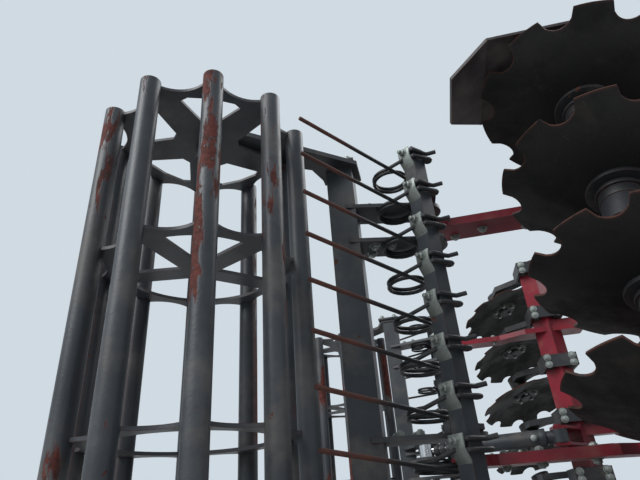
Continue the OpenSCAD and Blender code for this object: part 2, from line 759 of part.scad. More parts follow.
module depth_barrel(side) {
    color(grey) wing(side) depth_line(depth_d(side)) difference() {
        union() {
            translate([0, -eye_w / 2, 0]) rotate([-90, 0, 0]) cylinder(r = eye_r, h = eye_w);
            rotate([0, 90, 0]) cylinder(r = eye_w / 2 - 1, h = barrel_start + 5);
            translate([barrel_start, 0, 0]) rotate([0, 90, 0]) cylinder(r = depth_barrel_r, h = 340);
        }
        translate([0, -eye_w, 0]) rotate([-90, 0, 0]) cylinder(r = pivot_r + pin_gap, h = 2 * eye_w);
        translate([barrel_start + 8, 0, 0]) rotate([0, 90, 0]) cylinder(r = depth_rod_r + pin_gap, h = 400);
    }
}

module depth_rod(side) {
    color(zinc) wing(side) depth_line(depth_d(side)) difference() {
        union() {
            translate([depth_len, -eye_w / 2, 0]) rotate([-90, 0, 0]) cylinder(r = eye_r, h = eye_w);
            translate([depth_len - 420, 0, 0]) rotate([0, 90, 0]) cylinder(r = depth_rod_r, h = 400);
        }
        translate([depth_len, -eye_w, 0]) rotate([-90, 0, 0]) cylinder(r = pivot_r + pin_gap, h = 2 * eye_w);
    }
}

// Two lugs of the centre frame on one side of a hinge station
module centre_lugs(x, side) {
    for (s = [-1, 1]) {
        x_in = x + s * (hinge_boss_w / 2 + face_gap + lug_t / 2) - lug_t / 2;
        difference() {
            union() {
                long_bar(side * hinge_d, hinge_h, hinge_lug_r, x_in, x_in + lug_t);
                translate([x_in, side > 0 ? 300 : -hinge_d, hinge_h - hinge_lug_r])
                    cube([lug_t, hinge_d - 300, 2 * hinge_lug_r]);
            }
            long_bar(side * hinge_d, hinge_h, hinge_pin_r + pin_gap, x_in - 1, x_in + lug_t + 1);
        }
    }
}

// Plates and pin that hold the barrel of one fold cylinder
module fold_bracket(x, y) {
    for (s = [-1, 1]) {
        x_in = x + s * (eye_w / 2 + face_gap + 7.5) - 7.5;
        translate([x_in, 0, 0]) rotate([90, 0, 90]) linear_extrude(height = 15)
            polygon([[y - 38, fold_pin_h], [y + 38, fold_pin_h], [y + 55, centre_base_h + centre_side - 5],
                [y - 55, centre_base_h + centre_side - 5]]);
        long_bar(y, fold_pin_h, 38, x_in, x_in + 15);
    }
    long_bar(y, fold_pin_h, fold_pin_r, x - eye_w / 2 - 25, x + eye_w / 2 + 25);
}

module centre_frame() {
    top = centre_base_h + centre_side;
    cross_end = hinge_d - hinge_lug_r - 5;
    color(red) placed() {
        for (s = [-1, 1])
            block([spine_rear_x, s * spine_d - centre_side / 2, centre_base_h],
                [cross_x + cross_side / 2, s * spine_d + centre_side / 2, top]);
        for (x = [rear_hinge_x, front_hinge_x]) {
            block([x - centre_side / 2, -cross_end, centre_base_h], [x + centre_side / 2, cross_end, top]);
            for (s = [RIGHT, LEFT]) centre_lugs(x, s);
        }
        fold_bracket(fold_right_x, fold_pin_d);
        fold_bracket(fold_left_x, -fold_pin_d);
    }
}

module headstock() {
    top_h = cross_h + mast_height;
    sleeve_out = leg_side / 2 + leg_gap + sleeve_wall;
    sleeve_in = leg_side / 2 + leg_gap;
    tower_y = tower_gap / 2 + tower_t / 2;
    color(red) placed() {
        difference() {
            union() {
                for (s = [-1, 1]) {
                    side_profile([[cross_x - 60, cross_h - 60], [cross_x + 60, cross_h - 60],
                        [cross_x + 110, top_h - 90], [cross_x + 110, top_h + 30], [cross_x + 30, top_h + 30],
                        [cross_x - 60, top_h - 200]], s * tower_y, tower_t);
                    side_profile([[cross_x - 60, centre_base_h], [cross_x - 60, top_h - 200],
                        [cross_x - 340, centre_base_h + centre_side], [cross_x - 340, centre_base_h]],
                        s * tower_y, tower_t);
                }
                for (s = [-1, 1])
                    block([cross_x - cross_side / 2, s * spine_d - centre_side / 2, cross_h],
                        [cross_x + cross_side / 2, s * spine_d + centre_side / 2, centre_base_h]);
                block([cross_x - cross_side / 2, -link_pin_d - 75, cross_h - cross_side / 2],
                    [cross_x + cross_side / 2, link_pin_d + 75, cross_h + cross_side / 2]);
                for (s = [-1, 1]) {
                    side_profile([[cross_x, cross_h - 60], [front_end - 30, cross_h - 45],
                        [front_end, cross_h - 15], [front_end, cross_h + 15], [front_end - 30, cross_h + 45],
                        [cross_x, cross_h + 60]], s * (link_pin_d - (link_pin_len + link_cheek_t) / 2),
                        link_cheek_t);
                    block([front_leg_x - sleeve_out, s * front_leg_d - sleeve_out, cross_h - 100],
                        [front_leg_x + sleeve_out, s * front_leg_d + sleeve_out, cross_h + 100]);
                    block([front_leg_x, s * front_leg_d - sleeve_out, cross_h - 50],
                        [cross_x, s * front_leg_d + sleeve_out, cross_h + 50]);
                }
            }
            for (s = [-1, 1])
                block([front_leg_x - sleeve_in, s * front_leg_d - sleeve_in, 0],
                    [front_leg_x + sleeve_in, s * front_leg_d + sleeve_in, top_h]);
            for (h = [0, -70])
                translate([cross_x + 75, -200, top_h - 30 + h]) rotate([-90, 0, 0])
                    cylinder(r = top_bore_r, h = 400);
        }
        for (s = [-1, 1])
            cross_bar(link_pin_x, cross_h, link_pin_r,
                s * link_pin_d - link_pin_len / 2 - (s > 0 ? link_cheek_t : 20),
                s * link_pin_d + link_pin_len / 2 + (s > 0 ? 20 : link_cheek_t));
    }
}

centre_frame();
headstock();
front_stand(RIGHT);  // front_stand_right
front_stand(LEFT);  // front_stand_left
wing_frame(RIGHT);  // wing_frame_right
disc_arms(RIGHT);  // disc_arms_right
side_plate(RIGHT);  // side_plate_right
wing_stand(RIGHT);  // wing_stand_right
roller_carrier(RIGHT);  // roller_carrier_right
roller(RIGHT);  // roller_right
tine_bar(RIGHT);  // tine_bar_right
tines(RIGHT);  // tines_right
fold_barrel(RIGHT);  // fold_barrel_right
fold_rod(RIGHT);  // fold_rod_right
depth_barrel(RIGHT);  // depth_barrel_right
depth_rod(RIGHT);  // depth_rod_right
wing_frame(LEFT);  // wing_frame_left
disc_arms(LEFT);  // disc_arms_left
side_plate(LEFT);  // side_plate_left
wing_stand(LEFT);  // wing_stand_left
roller_carrier(LEFT);  // roller_carrier_left
roller(LEFT);  // roller_left
tine_bar(LEFT);  // tine_bar_left
tines(LEFT);  // tines_left
fold_barrel(LEFT);  // fold_barrel_left
fold_rod(LEFT);  // fold_rod_left
depth_barrel(LEFT);  // depth_barrel_left
depth_rod(LEFT);  // depth_rod_left
rear_disc(RIGHT, 1);  // rear_disc_right_1
rear_disc(RIGHT, 2);  // rear_disc_right_2
rear_disc(RIGHT, 3);  // rear_disc_right_3
rear_disc(RIGHT, 4);  // rear_disc_right_4
rear_disc(RIGHT, 5);  // rear_disc_right_5
rear_disc(RIGHT, 6);  // rear_disc_right_6
rear_disc(RIGHT, 7);  // rear_disc_right_7
rear_disc(RIGHT, 8);  // rear_disc_right_8
rear_disc(LEFT, 1);  // rear_disc_left_1
rear_disc(LEFT, 2);  // rear_disc_left_2
rear_disc(LEFT, 3);  // rear_disc_left_3
rear_disc(LEFT, 4);  // rear_disc_left_4
rear_disc(LEFT, 5);  // rear_disc_left_5
rear_disc(LEFT, 6);  // rear_disc_left_6
rear_disc(LEFT, 7);  // rear_disc_left_7
rear_disc(LEFT, 8);  // rear_disc_left_8
front_disc(RIGHT, 1);  // front_disc_right_1
front_disc(RIGHT, 2);  // front_disc_right_2
front_disc(RIGHT, 3);  // front_disc_right_3
front_disc(RIGHT, 4);  // front_disc_right_4
front_disc(RIGHT, 5);  // front_disc_right_5
front_disc(RIGHT, 6);  // front_disc_right_6
front_disc(RIGHT, 7);  // front_disc_right_7
front_disc(RIGHT, 8);  // front_disc_right_8
front_disc(LEFT, 1);  // front_disc_left_1
front_disc(LEFT, 2);  // front_disc_left_2
front_disc(LEFT, 3);  // front_disc_left_3
front_disc(LEFT, 4);  // front_disc_left_4
front_disc(LEFT, 5);  // front_disc_left_5
front_disc(LEFT, 6);  // front_disc_left_6
front_disc(LEFT, 7);  // front_disc_left_7
front_disc(LEFT, 8);  // front_disc_left_8
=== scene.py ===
"""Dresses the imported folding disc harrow: a finish for every part, and fittings that the solids leave out.

Everything is in metres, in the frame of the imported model: X forwards, Y to the machine's left and Z up.
Wing parts are described in the working pose, by their station in front of the roller axis, their distance
out from the centre plane and their height above the soil, and Wing.place() turns them into the parked pose.
"""

import json
import logging
import math
from dataclasses import dataclass, field
from enum import Enum
from typing import Iterable, Sequence

import bmesh
import bpy
from mathutils import Matrix, Vector


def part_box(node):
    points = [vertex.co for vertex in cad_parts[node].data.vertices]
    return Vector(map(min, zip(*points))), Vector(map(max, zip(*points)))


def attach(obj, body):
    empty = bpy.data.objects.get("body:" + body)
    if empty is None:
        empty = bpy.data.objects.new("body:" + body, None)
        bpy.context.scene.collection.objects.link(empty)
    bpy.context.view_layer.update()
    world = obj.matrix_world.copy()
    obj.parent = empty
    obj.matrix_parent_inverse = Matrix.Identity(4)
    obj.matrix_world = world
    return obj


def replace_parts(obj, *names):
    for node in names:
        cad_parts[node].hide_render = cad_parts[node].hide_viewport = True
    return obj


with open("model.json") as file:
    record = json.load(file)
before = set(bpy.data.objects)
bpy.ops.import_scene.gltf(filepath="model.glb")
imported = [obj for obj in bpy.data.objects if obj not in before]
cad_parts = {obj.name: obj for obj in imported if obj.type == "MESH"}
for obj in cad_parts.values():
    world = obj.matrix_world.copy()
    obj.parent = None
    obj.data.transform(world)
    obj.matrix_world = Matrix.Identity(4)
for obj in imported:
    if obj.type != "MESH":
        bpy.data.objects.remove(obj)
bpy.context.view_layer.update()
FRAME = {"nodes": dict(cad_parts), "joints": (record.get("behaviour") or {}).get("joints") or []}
LOG = logging.getLogger("disc_harrow")
RIGHT_RAILS = (0.545, 1.156, 1.809)
LEFT_RAILS = (0.545, 1.250, 1.809)

Colour = tuple[float, float, float]

SMOOTH_ANGLE = math.radians(32)
BAR_FACE = math.sqrt(0.5)


def seen(red: int, green: int, blue: int) -> Colour:
    """Turns a colour as the eye sees it, 0 to 255, into the linear values that shaders take."""
    return tuple(
        c / 255 / 12.92 if c <= 10 else ((c / 255 + 0.055) / 1.055) ** 2.4 for c in (red, green, blue)
    )


class Side(Enum):
    """The two wings, named as the driver sees them."""

    RIGHT = "right"
    LEFT = "left"

    @property
    def sign(self) -> int:
        """Sign of Y on this side."""
        return -1 if self is Side.RIGHT else 1


class Row(Enum):
    """The two rows of discs on a wing."""

    REAR = "rear"
    FRONT = "front"


@dataclass(frozen=True)
class Wing:
    """One wing's place in the frame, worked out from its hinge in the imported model."""

    side: Side

    def joint(self, name: str) -> dict:
        """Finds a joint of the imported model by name."""
        return next(j for j in FRAME["joints"] if j["name"] == name)

    def name(self, part: str) -> str:
        """Adds this wing's side to a part's name."""
        return f"{part}_{self.side.value}"

    @property
    def roller_x(self) -> float:
        """X of the roller's axis, which the stations count from."""
        low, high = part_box(self.name("roller"))
        return (low.x + high.x) / 2

    def fold(self) -> Matrix:
        """The turn about the hinge from the working pose to the parked one, stations included."""
        _, hinge_y, hinge_z = self.joint(self.name("wing_fold"))["pos_m"]
        to_hinge = Matrix.Translation((0, hinge_y, hinge_z))
        turn = Matrix.Rotation(self.side.sign * math.pi / 2, 4, "X")
        return Matrix.Translation((self.roller_x, 0, 0)) @ to_hinge @ turn @ to_hinge.inverted()

    def place(self) -> Matrix:
        """Takes a point given as station, distance out and height to the parked pose."""
        mirror = Matrix.Diagonal((1, self.side.sign, 1, 1))
        return self.fold() @ mirror


def frame_along(origin: Vector, axis: Vector, side_hint: Vector | None = None) -> Matrix:
    """A frame whose Z runs along an axis.

    Args:
        origin: where the frame sits.
        axis: the direction of its Z.
        side_hint: a direction that its X leans towards.

    Returns:
        The 4x4 matrix.
    """
    z = axis.normalized()
    other = Vector((1, 0, 0)) if abs(z.x) < 0.9 else Vector((0, 1, 0))
    hint = other if side_hint is None else side_hint
    y = z.cross(hint).normalized()
    x = y.cross(z)
    return Matrix.Translation(origin) @ Matrix((x, y, z)).transposed().to_4x4()


class Shape:
    """A mesh in the making, in metres, with the steps that this machine's parts are made by."""

    def __init__(self) -> None:
        """Starts an empty mesh."""
        self.bm = bmesh.new()

    def box(self, low: Sequence[float], high: Sequence[float], bevel: float = 0.0) -> "Shape":
        """Adds a box between two corners, with its edges broken by bevel."""
        low_v, high_v = Vector(low), Vector(high)
        matrix = Matrix.Translation((low_v + high_v) / 2) @ Matrix.Diagonal((*(high_v - low_v), 1))
        made = bmesh.ops.create_cube(self.bm, size=1, matrix=matrix)
        return self._bevel(made["verts"], bevel)

    def rod(self, start: Vector, end: Vector, radius: float, sides: int = 20, bevel: float = 0.0,
            top_radius: float | None = None) -> "Shape":
        """Adds a round bar from start to end, or a cone when top_radius differs."""
        axis = end - start
        matrix = frame_along((start + end) / 2, axis)
        made = bmesh.ops.create_cone(
            self.bm, cap_ends=True, segments=sides, radius1=radius,
            radius2=radius if top_radius is None else top_radius, depth=axis.length, matrix=matrix,
        )
        return self._bevel(made["verts"], bevel, caps_only=True)

    def _bevel(self, verts: Iterable, width: float, caps_only: bool = False) -> "Shape":
        """Breaks the edges of what was just added."""
        if width <= 0:
            return self
        edges = {e for v in verts for e in v.link_edges}
        if caps_only:
            edges = {e for e in edges if any(len(f.verts) > 4 for f in e.link_faces)}
        bmesh.ops.bevel(self.bm, geom=list(edges), offset=width, segments=2, profile=0.5,
                        affect="EDGES", material=-1, clamp_overlap=True)
        return self

    def sweep(self, path: Sequence[Vector], radius: float, sides: int = 8,
              marks: Sequence[float] | None = None, mark_name: str = "along") -> "Shape":
        """Adds a round wire that follows a path.

        Args:
            path: the wire's centre line.
            radius: the wire's radius.
            sides: faces round the wire.
            marks: a value for each point of the path, kept as a point attribute.
            mark_name: the attribute's name.

        Returns:
            This shape.
        """
        layer = None
        if marks is not None:
            layer = self.bm.verts.layers.float.get(mark_name) or self.bm.verts.layers.float.new(mark_name)
        ways = [(b - a).normalized() for a, b in zip(path, path[1:])]
        tangents = [ways[0], *[(a + b).normalized() for a, b in zip(ways, ways[1:])], ways[-1]]
        made = bmesh.ops.create_circle(self.bm, cap_ends=True, radius=radius, segments=sides,
                                       matrix=frame_along(path[0], tangents[0]))
        ring = made["verts"]
        everything = list(ring)
        edges = list({e for v in ring for e in v.link_edges})
        if layer is not None:
            for v in ring:
                v[layer] = marks[0]
        for i in range(1, len(path)):
            grown = bmesh.ops.extrude_edge_only(self.bm, edges=edges)["geom"]
            ring = [g for g in grown if isinstance(g, bmesh.types.BMVert)]
            edges = [g for g in grown if isinstance(g, bmesh.types.BMEdge)]
            turn = tangents[i - 1].rotation_difference(tangents[i]).to_matrix()
            bmesh.ops.rotate(self.bm, cent=path[i - 1], matrix=turn, verts=ring)
            bmesh.ops.translate(self.bm, vec=path[i] - path[i - 1], verts=ring)
            everything += ring
            if layer is not None:
                for v in ring:
                    v[layer] = marks[i]
        bmesh.ops.contextual_create(self.bm, geom=edges)
        faces = list({f for v in everything for f in v.link_faces})
        bmesh.ops.recalc_face_normals(self.bm, faces=faces)
        return self

    def ring(self, centre: Vector, axis: Vector, inner: float, outer: float, height: float,
             sides: int = 24) -> "Shape":
        """Adds a flat ring or short tube that stands on centre and rises along axis."""
        half = (outer - inner) / 2
        base = frame_along(centre, axis)
        profile = [Vector((inner, 0, 0)), Vector((inner + 2 * half, 0, 0)),
                   Vector((inner + 2 * half, 0, height)), Vector((inner, 0, height))]
        verts = [self.bm.verts.new(base @ p) for p in profile]
        face = self.bm.faces.new(verts)
        bmesh.ops.spin(self.bm, geom=[face, *face.edges, *face.verts], cent=centre, axis=axis.normalized(),
                       angle=2 * math.pi, steps=sides, use_merge=True, use_duplicate=False)
        loose = [f for f in self.bm.faces if f.is_valid and set(f.verts) == set(verts)]
        bmesh.ops.delete(self.bm, geom=loose, context="FACES_ONLY")
        bmesh.ops.recalc_face_normals(self.bm, faces=self.bm.faces)
        return self

    def stamp(self, other: "Shape", matrix: Matrix) -> "Shape":
        """Adds a copy of another shape, placed by a matrix."""
        mesh = bpy.data.meshes.new("stamp")
        other.bm.to_mesh(mesh)
        mesh.transform(matrix)
        if matrix.determinant() < 0:
            mesh.flip_normals()
        self.bm.from_mesh(mesh)
        bpy.data.meshes.remove(mesh)
        return self

    def piece(self, name: str, finish: "Finish", body: str, matrix: Matrix | None = None,
              smooth: bool = True) -> bpy.types.Object:
        """Makes the shape a piece of the machine.

        Args:
            name: the piece's name.
            finish: its material.
            body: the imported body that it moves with.
            matrix: where it goes in the frame.
            smooth: whether its round faces are shaded smooth.

        Returns:
            The new object, at the origin with its place in its mesh.
        """
        if matrix is not None:
            self.bm.transform(matrix)
            if matrix.determinant() < 0:
                bmesh.ops.reverse_faces(self.bm, faces=self.bm.faces)
        mesh = bpy.data.meshes.new(name)
        self.bm.to_mesh(mesh)
        self.bm.free()
        if smooth:
            mesh.shade_smooth()
            mesh.set_sharp_from_angle(angle=SMOOTH_ANGLE)
        mesh.materials.append(finish.material())
        made = bpy.data.objects.new(name, mesh)
        bpy.context.scene.collection.objects.link(made)
        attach(made, body)
        LOG.info("%s: %d faces on %s", name, len(mesh.polygons), body)
        return made


class Graph:
    """A node tree, with short calls that add nodes and join them."""

    def __init__(self, tree: bpy.types.NodeTree) -> None:
        """Keeps the tree that the nodes go into."""
        self.tree = tree

    def add(self, kind: str, **settings: object) -> bpy.types.Node:
        """Adds a node. Settings are its properties, or its inputs with _ for a space."""
        made = self.tree.nodes.new(kind)
        for key, value in settings.items():
            if hasattr(made, key):
                setattr(made, key, value)
            else:
                self.feed(made.inputs[key.replace("_", " ")], value)
        return made

    def feed(self, target: bpy.types.NodeSocket, value: object) -> None:
        """Gives an input a value, a colour or another node's output."""
        if isinstance(value, bpy.types.NodeSocket):
            self.tree.links.new(value, target)
        elif isinstance(value, tuple) and target.type == "RGBA":
            target.default_value = (*value[:3], 1.0)
        else:
            target.default_value = value

    def mix(self, first: object, second: object, mask: object) -> bpy.types.NodeSocket:
        """Blends two colours by a mask."""
        made = self.tree.nodes.new("ShaderNodeMix")
        made.data_type = "RGBA"
        self.feed(made.inputs[0], mask)
        self.feed(made.inputs[6], first)
        self.feed(made.inputs[7], second)
        return made.outputs[2]

    def math(self, operation: str, first: object, second: object = 0.0,
             clamp: bool = False) -> bpy.types.NodeSocket:
        """Does one sum."""
        made = self.tree.nodes.new("ShaderNodeMath")
        made.operation = operation
        made.use_clamp = clamp
        self.feed(made.inputs[0], first)
        self.feed(made.inputs[1], second)
        return made.outputs[0]

    def blend(self, first: float, second: float, mask: bpy.types.NodeSocket) -> bpy.types.NodeSocket:
        """Goes from one number to another as a mask goes from 0 to 1."""
        scaled = self.math("MULTIPLY", mask, second - first)
        return self.math("ADD", scaled, first)

    def use(self, group: bpy.types.NodeTree, **inputs: object) -> bpy.types.Node:
        """Places a shared effect with its own values."""
        made = self.tree.nodes.new("ShaderNodeGroup")
        made.node_tree = group
        for key, value in inputs.items():
            self.feed(made.inputs[key.replace("_", " ")], value)
        return made


class Effects:
    """The shared effects, each built once as a node group with named inputs."""

    @staticmethod
    def _new(name: str, inputs: dict[str, tuple[str, object]], outputs: dict[str, str]
             ) -> tuple[bpy.types.NodeTree, Graph, bpy.types.Node, bpy.types.Node]:
        """Makes an empty group with its sockets."""
        tree = bpy.data.node_groups.new(name, "ShaderNodeTree")
        for key, (kind, default) in inputs.items():
            socket = tree.interface.new_socket(name=key, in_out="INPUT", socket_type=kind)
            if default is not None:
                socket.default_value = default
        for key, kind in outputs.items():
            tree.interface.new_socket(name=key, in_out="OUTPUT", socket_type=kind)
        graph = Graph(tree)
        return tree, graph, graph.add("NodeGroupInput"), graph.add("NodeGroupOutput")

    @classmethod
    def patches(cls) -> bpy.types.NodeTree:
        """Blotches with a ragged edge: worn paint, rust, dirt."""
        found = bpy.data.node_groups.get("patches")
        if found:
            return found
        tree, g, given, result = cls._new(
            "patches",
            {"Vector": ("NodeSocketVector", None), "Scale": ("NodeSocketFloat", 5.0),
             "Detail": ("NodeSocketFloat", 6.0), "Threshold": ("NodeSocketFloat", 0.55),
             "Softness": ("NodeSocketFloat", 0.03)},
            {"Mask": "NodeSocketFloat"},
        )
        noise = g.add("ShaderNodeTexNoise", Vector=given.outputs["Vector"], Scale=given.outputs["Scale"],
                      Detail=given.outputs["Detail"], Roughness=0.62)
        low = g.math("SUBTRACT", given.outputs["Threshold"], given.outputs["Softness"])
        high = g.math("ADD", given.outputs["Threshold"], given.outputs["Softness"])
        ramp = g.add("ShaderNodeMapRange", interpolation_type="SMOOTHSTEP", Value=noise.outputs[0],
                     From_Min=low, From_Max=high)
        g.feed(result.inputs["Mask"], ramp.outputs[0])
        return tree

    @classmethod
    def edge_wear(cls) -> bpy.types.NodeTree:
        """Finds sharp edges, broken up so that they wear here and there."""
        found = bpy.data.node_groups.get("edge_wear")
        if found:
            return found
        tree, g, given, result = cls._new(
            "edge_wear",
            {"Vector": ("NodeSocketVector", None), "Radius": ("NodeSocketFloat", 0.003),
             "Scale": ("NodeSocketFloat", 30.0), "Strength": ("NodeSocketFloat", 6.0)},
            {"Mask": "NodeSocketFloat"},
        )
        rounded = g.add("ShaderNodeBevel", samples=4, Radius=given.outputs["Radius"])
        flat = g.add("ShaderNodeNewGeometry")
        meet = g.add("ShaderNodeVectorMath", operation="DOT_PRODUCT")
        g.feed(meet.inputs[0], rounded.outputs[0])
        g.feed(meet.inputs[1], flat.outputs["Normal"])
        bend = g.math("MULTIPLY", g.math("SUBTRACT", 1.0, meet.outputs["Value"]), given.outputs["Strength"])
        noise = g.add("ShaderNodeTexNoise", Vector=given.outputs["Vector"], Scale=given.outputs["Scale"],
                      Detail=4.0)
        broken = g.math("SUBTRACT", g.math("MULTIPLY", noise.outputs[0], 2.4), 0.7, clamp=True)
        g.feed(result.inputs["Mask"], g.math("MULTIPLY", bend, broken, clamp=True))
        return tree

    @classmethod
    def grain(cls) -> bpy.types.NodeTree:
        """Fine unevenness for a bump: two sizes of noise."""
        found = bpy.data.node_groups.get("grain")
        if found:
            return found
        tree, g, given, result = cls._new(
            "grain",
            {"Vector": ("NodeSocketVector", None), "Scale": ("NodeSocketFloat", 250.0),
             "Waviness": ("NodeSocketFloat", 0.5)},
            {"Height": "NodeSocketFloat"},
        )
        fine = g.add("ShaderNodeTexNoise", Vector=given.outputs["Vector"], Scale=given.outputs["Scale"],
                     Detail=2.0)
        wide = g.add("ShaderNodeTexNoise", Vector=given.outputs["Vector"],
                     Scale=g.math("MULTIPLY", given.outputs["Scale"], 0.08), Detail=2.0)
        wave = g.math("MULTIPLY", wide.outputs[0], given.outputs["Waviness"])
        total = g.math("ADD", fine.outputs[0], wave)
        g.feed(result.inputs["Height"], total)
        return tree


@dataclass(frozen=True)
class Finish:
    """What every finish has: a name, the record's slot and a colour."""

    title: str
    slot: str
    colour: Colour
    roughness: float = 0.5

    def material(self) -> bpy.types.Material:
        """The finish's material, made on first use."""
        found = bpy.data.materials.get(self.title)
        if found:
            return found
        made = bpy.data.materials.new(self.title)
        made.use_nodes = True
        made.node_tree.nodes.clear()
        graph = Graph(made.node_tree)
        shader = graph.add("ShaderNodeBsdfPrincipled")
        out = graph.add("ShaderNodeOutputMaterial")
        graph.feed(out.inputs["Surface"], shader.outputs[0])
        made.diffuse_color = (*self.colour, 1)
        self.dress(graph, shader)
        return made

    def dress(self, graph: Graph, shader: bpy.types.Node) -> None:
        """Fills in the shader. Each kind of finish has its own way."""
        raise NotImplementedError

    def bump(self, graph: Graph, shader: bpy.types.Node, height: bpy.types.NodeSocket,
             depth: float) -> None:
        """Feeds a height to the shader's normal."""
        node = graph.add("ShaderNodeBump", Strength=0.6, Distance=depth, Height=height)
        graph.feed(shader.inputs["Normal"], node.outputs[0])

    def apply(self, node: str) -> None:
        """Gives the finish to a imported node."""
        packed = FRAME["nodes"][node]
        if not packed.material_slots:
            packed.data.materials.append(self.material())
        for slot in packed.material_slots:
            slot.material = self.material()


@dataclass(frozen=True)
class Paint(Finish):
    """Sprayed paint on steel, worn on its edges, chipped in places and dusty."""

    shade: Colour = (0.02, 0.02, 0.02)
    bare: Colour = seen(96, 52, 42)
    dust: Colour = seen(112, 106, 98)
    dust_threshold: float = 0.62
    chip_scale: float = 22.0
    chip_threshold: float = 0.68
    wear: float = 5.0
    stretch: tuple[float, float, float] = (1.0, 1.0, 1.0)
    specular: float = 0.35

    def dress(self, graph: Graph, shader: bpy.types.Node) -> None:
        """Paint over bare metal, with dust on top."""
        where = graph.add("ShaderNodeTexCoord").outputs["Object"]
        along = graph.add("ShaderNodeMapping", Scale=self.stretch)
        graph.feed(along.inputs["Vector"], where)
        along = along.outputs[0]
        tone = graph.use(Effects.patches(), Vector=along, Scale=3.1, Threshold=0.5, Softness=0.16)
        colour = graph.mix(self.colour, self.shade, tone.outputs[0])
        dust = graph.use(Effects.patches(), Vector=where, Scale=7.0, Threshold=self.dust_threshold,
                         Softness=0.16)
        dust_mask = graph.math("MULTIPLY", dust.outputs[0], 0.45)
        colour = graph.mix(colour, self.dust, dust_mask)
        worn = self.worn_mask(graph, where, along)
        colour = graph.mix(colour, self.metal(graph, where), worn)
        graph.feed(shader.inputs["Base Color"], colour)
        matt = graph.math("MAXIMUM", worn, dust_mask)
        graph.feed(shader.inputs["Roughness"], graph.blend(self.roughness, 0.85, matt))
        graph.feed(shader.inputs["Specular IOR Level"], self.specular)
        grain = graph.use(Effects.grain(), Vector=where, Scale=180.0, Waviness=0.8)
        height = graph.math("SUBTRACT", grain.outputs[0], graph.math("MULTIPLY", worn, 1.2))
        self.bump(graph, shader, height, 0.0008)

    def metal(self, graph: Graph, where: bpy.types.NodeSocket) -> bpy.types.NodeSocket:
        """Colour of what shows where the paint is gone."""
        spots = graph.use(Effects.patches(), Vector=where, Scale=60.0, Threshold=0.5, Softness=0.1)
        darker = tuple(c * 0.45 for c in self.bare)
        return graph.mix(self.bare, darker, spots.outputs[0])

    def worn_mask(self, graph: Graph, where: bpy.types.NodeSocket, along: bpy.types.NodeSocket
                  ) -> bpy.types.NodeSocket:
        """Where the paint is gone: on edges, and in chips."""
        edges = graph.use(Effects.edge_wear(), Vector=where, Radius=0.003, Scale=26.0, Strength=self.wear)
        chips = graph.use(Effects.patches(), Vector=along, Scale=self.chip_scale,
                          Threshold=self.chip_threshold, Softness=0.01)
        return graph.math("MAXIMUM", edges.outputs[0], chips.outputs[0])


@dataclass(frozen=True)
class RollerPaint(Paint):
    """Roller paint, scraped down to red rust in long patches on the outward side of the tubes."""

    axis: tuple[float, float] = (0.0, 0.0)
    worn_radius: float = 0.238
    patch_offset: tuple[float, float, float] = (0.0, 0.0, 0.0)
    patch_threshold: float = 0.545

    def worn_mask(self, graph: Graph, where: bpy.types.NodeSocket, along: bpy.types.NodeSocket
                  ) -> bpy.types.NodeSocket:
        """Long patches where the tubes rub the soil, besides worn edges and chips."""
        usual = super().worn_mask(graph, where, along)
        centred = graph.add("ShaderNodeMapping", Location=(-self.axis[0], -self.axis[1], 0.0),
                            Scale=(1.0, 1.0, 0.0))
        graph.feed(centred.inputs["Vector"], where)
        length = graph.add("ShaderNodeVectorMath", operation="LENGTH")
        graph.feed(length.inputs[0], centred.outputs[0])
        outside = graph.add("ShaderNodeMapRange", interpolation_type="SMOOTHSTEP",
                            Value=length.outputs["Value"], From_Min=self.worn_radius - 0.012,
                            From_Max=self.worn_radius + 0.012)
        shifted = graph.add("ShaderNodeMapping", Location=self.patch_offset, Scale=(1.0, 1.0, 0.22))
        graph.feed(shifted.inputs["Vector"], where)
        broad = graph.use(Effects.patches(), Vector=shifted.outputs[0], Scale=8.0, Detail=7.0,
                          Threshold=self.patch_threshold, Softness=0.012)
        patch = graph.math("MULTIPLY", broad.outputs[0], outside.outputs[0])
        ragged = graph.use(Effects.patches(), Vector=where, Scale=90.0, Threshold=0.36, Softness=0.03)
        return graph.math("MAXIMUM", usual, graph.math("MULTIPLY", patch, ragged.outputs[0]))


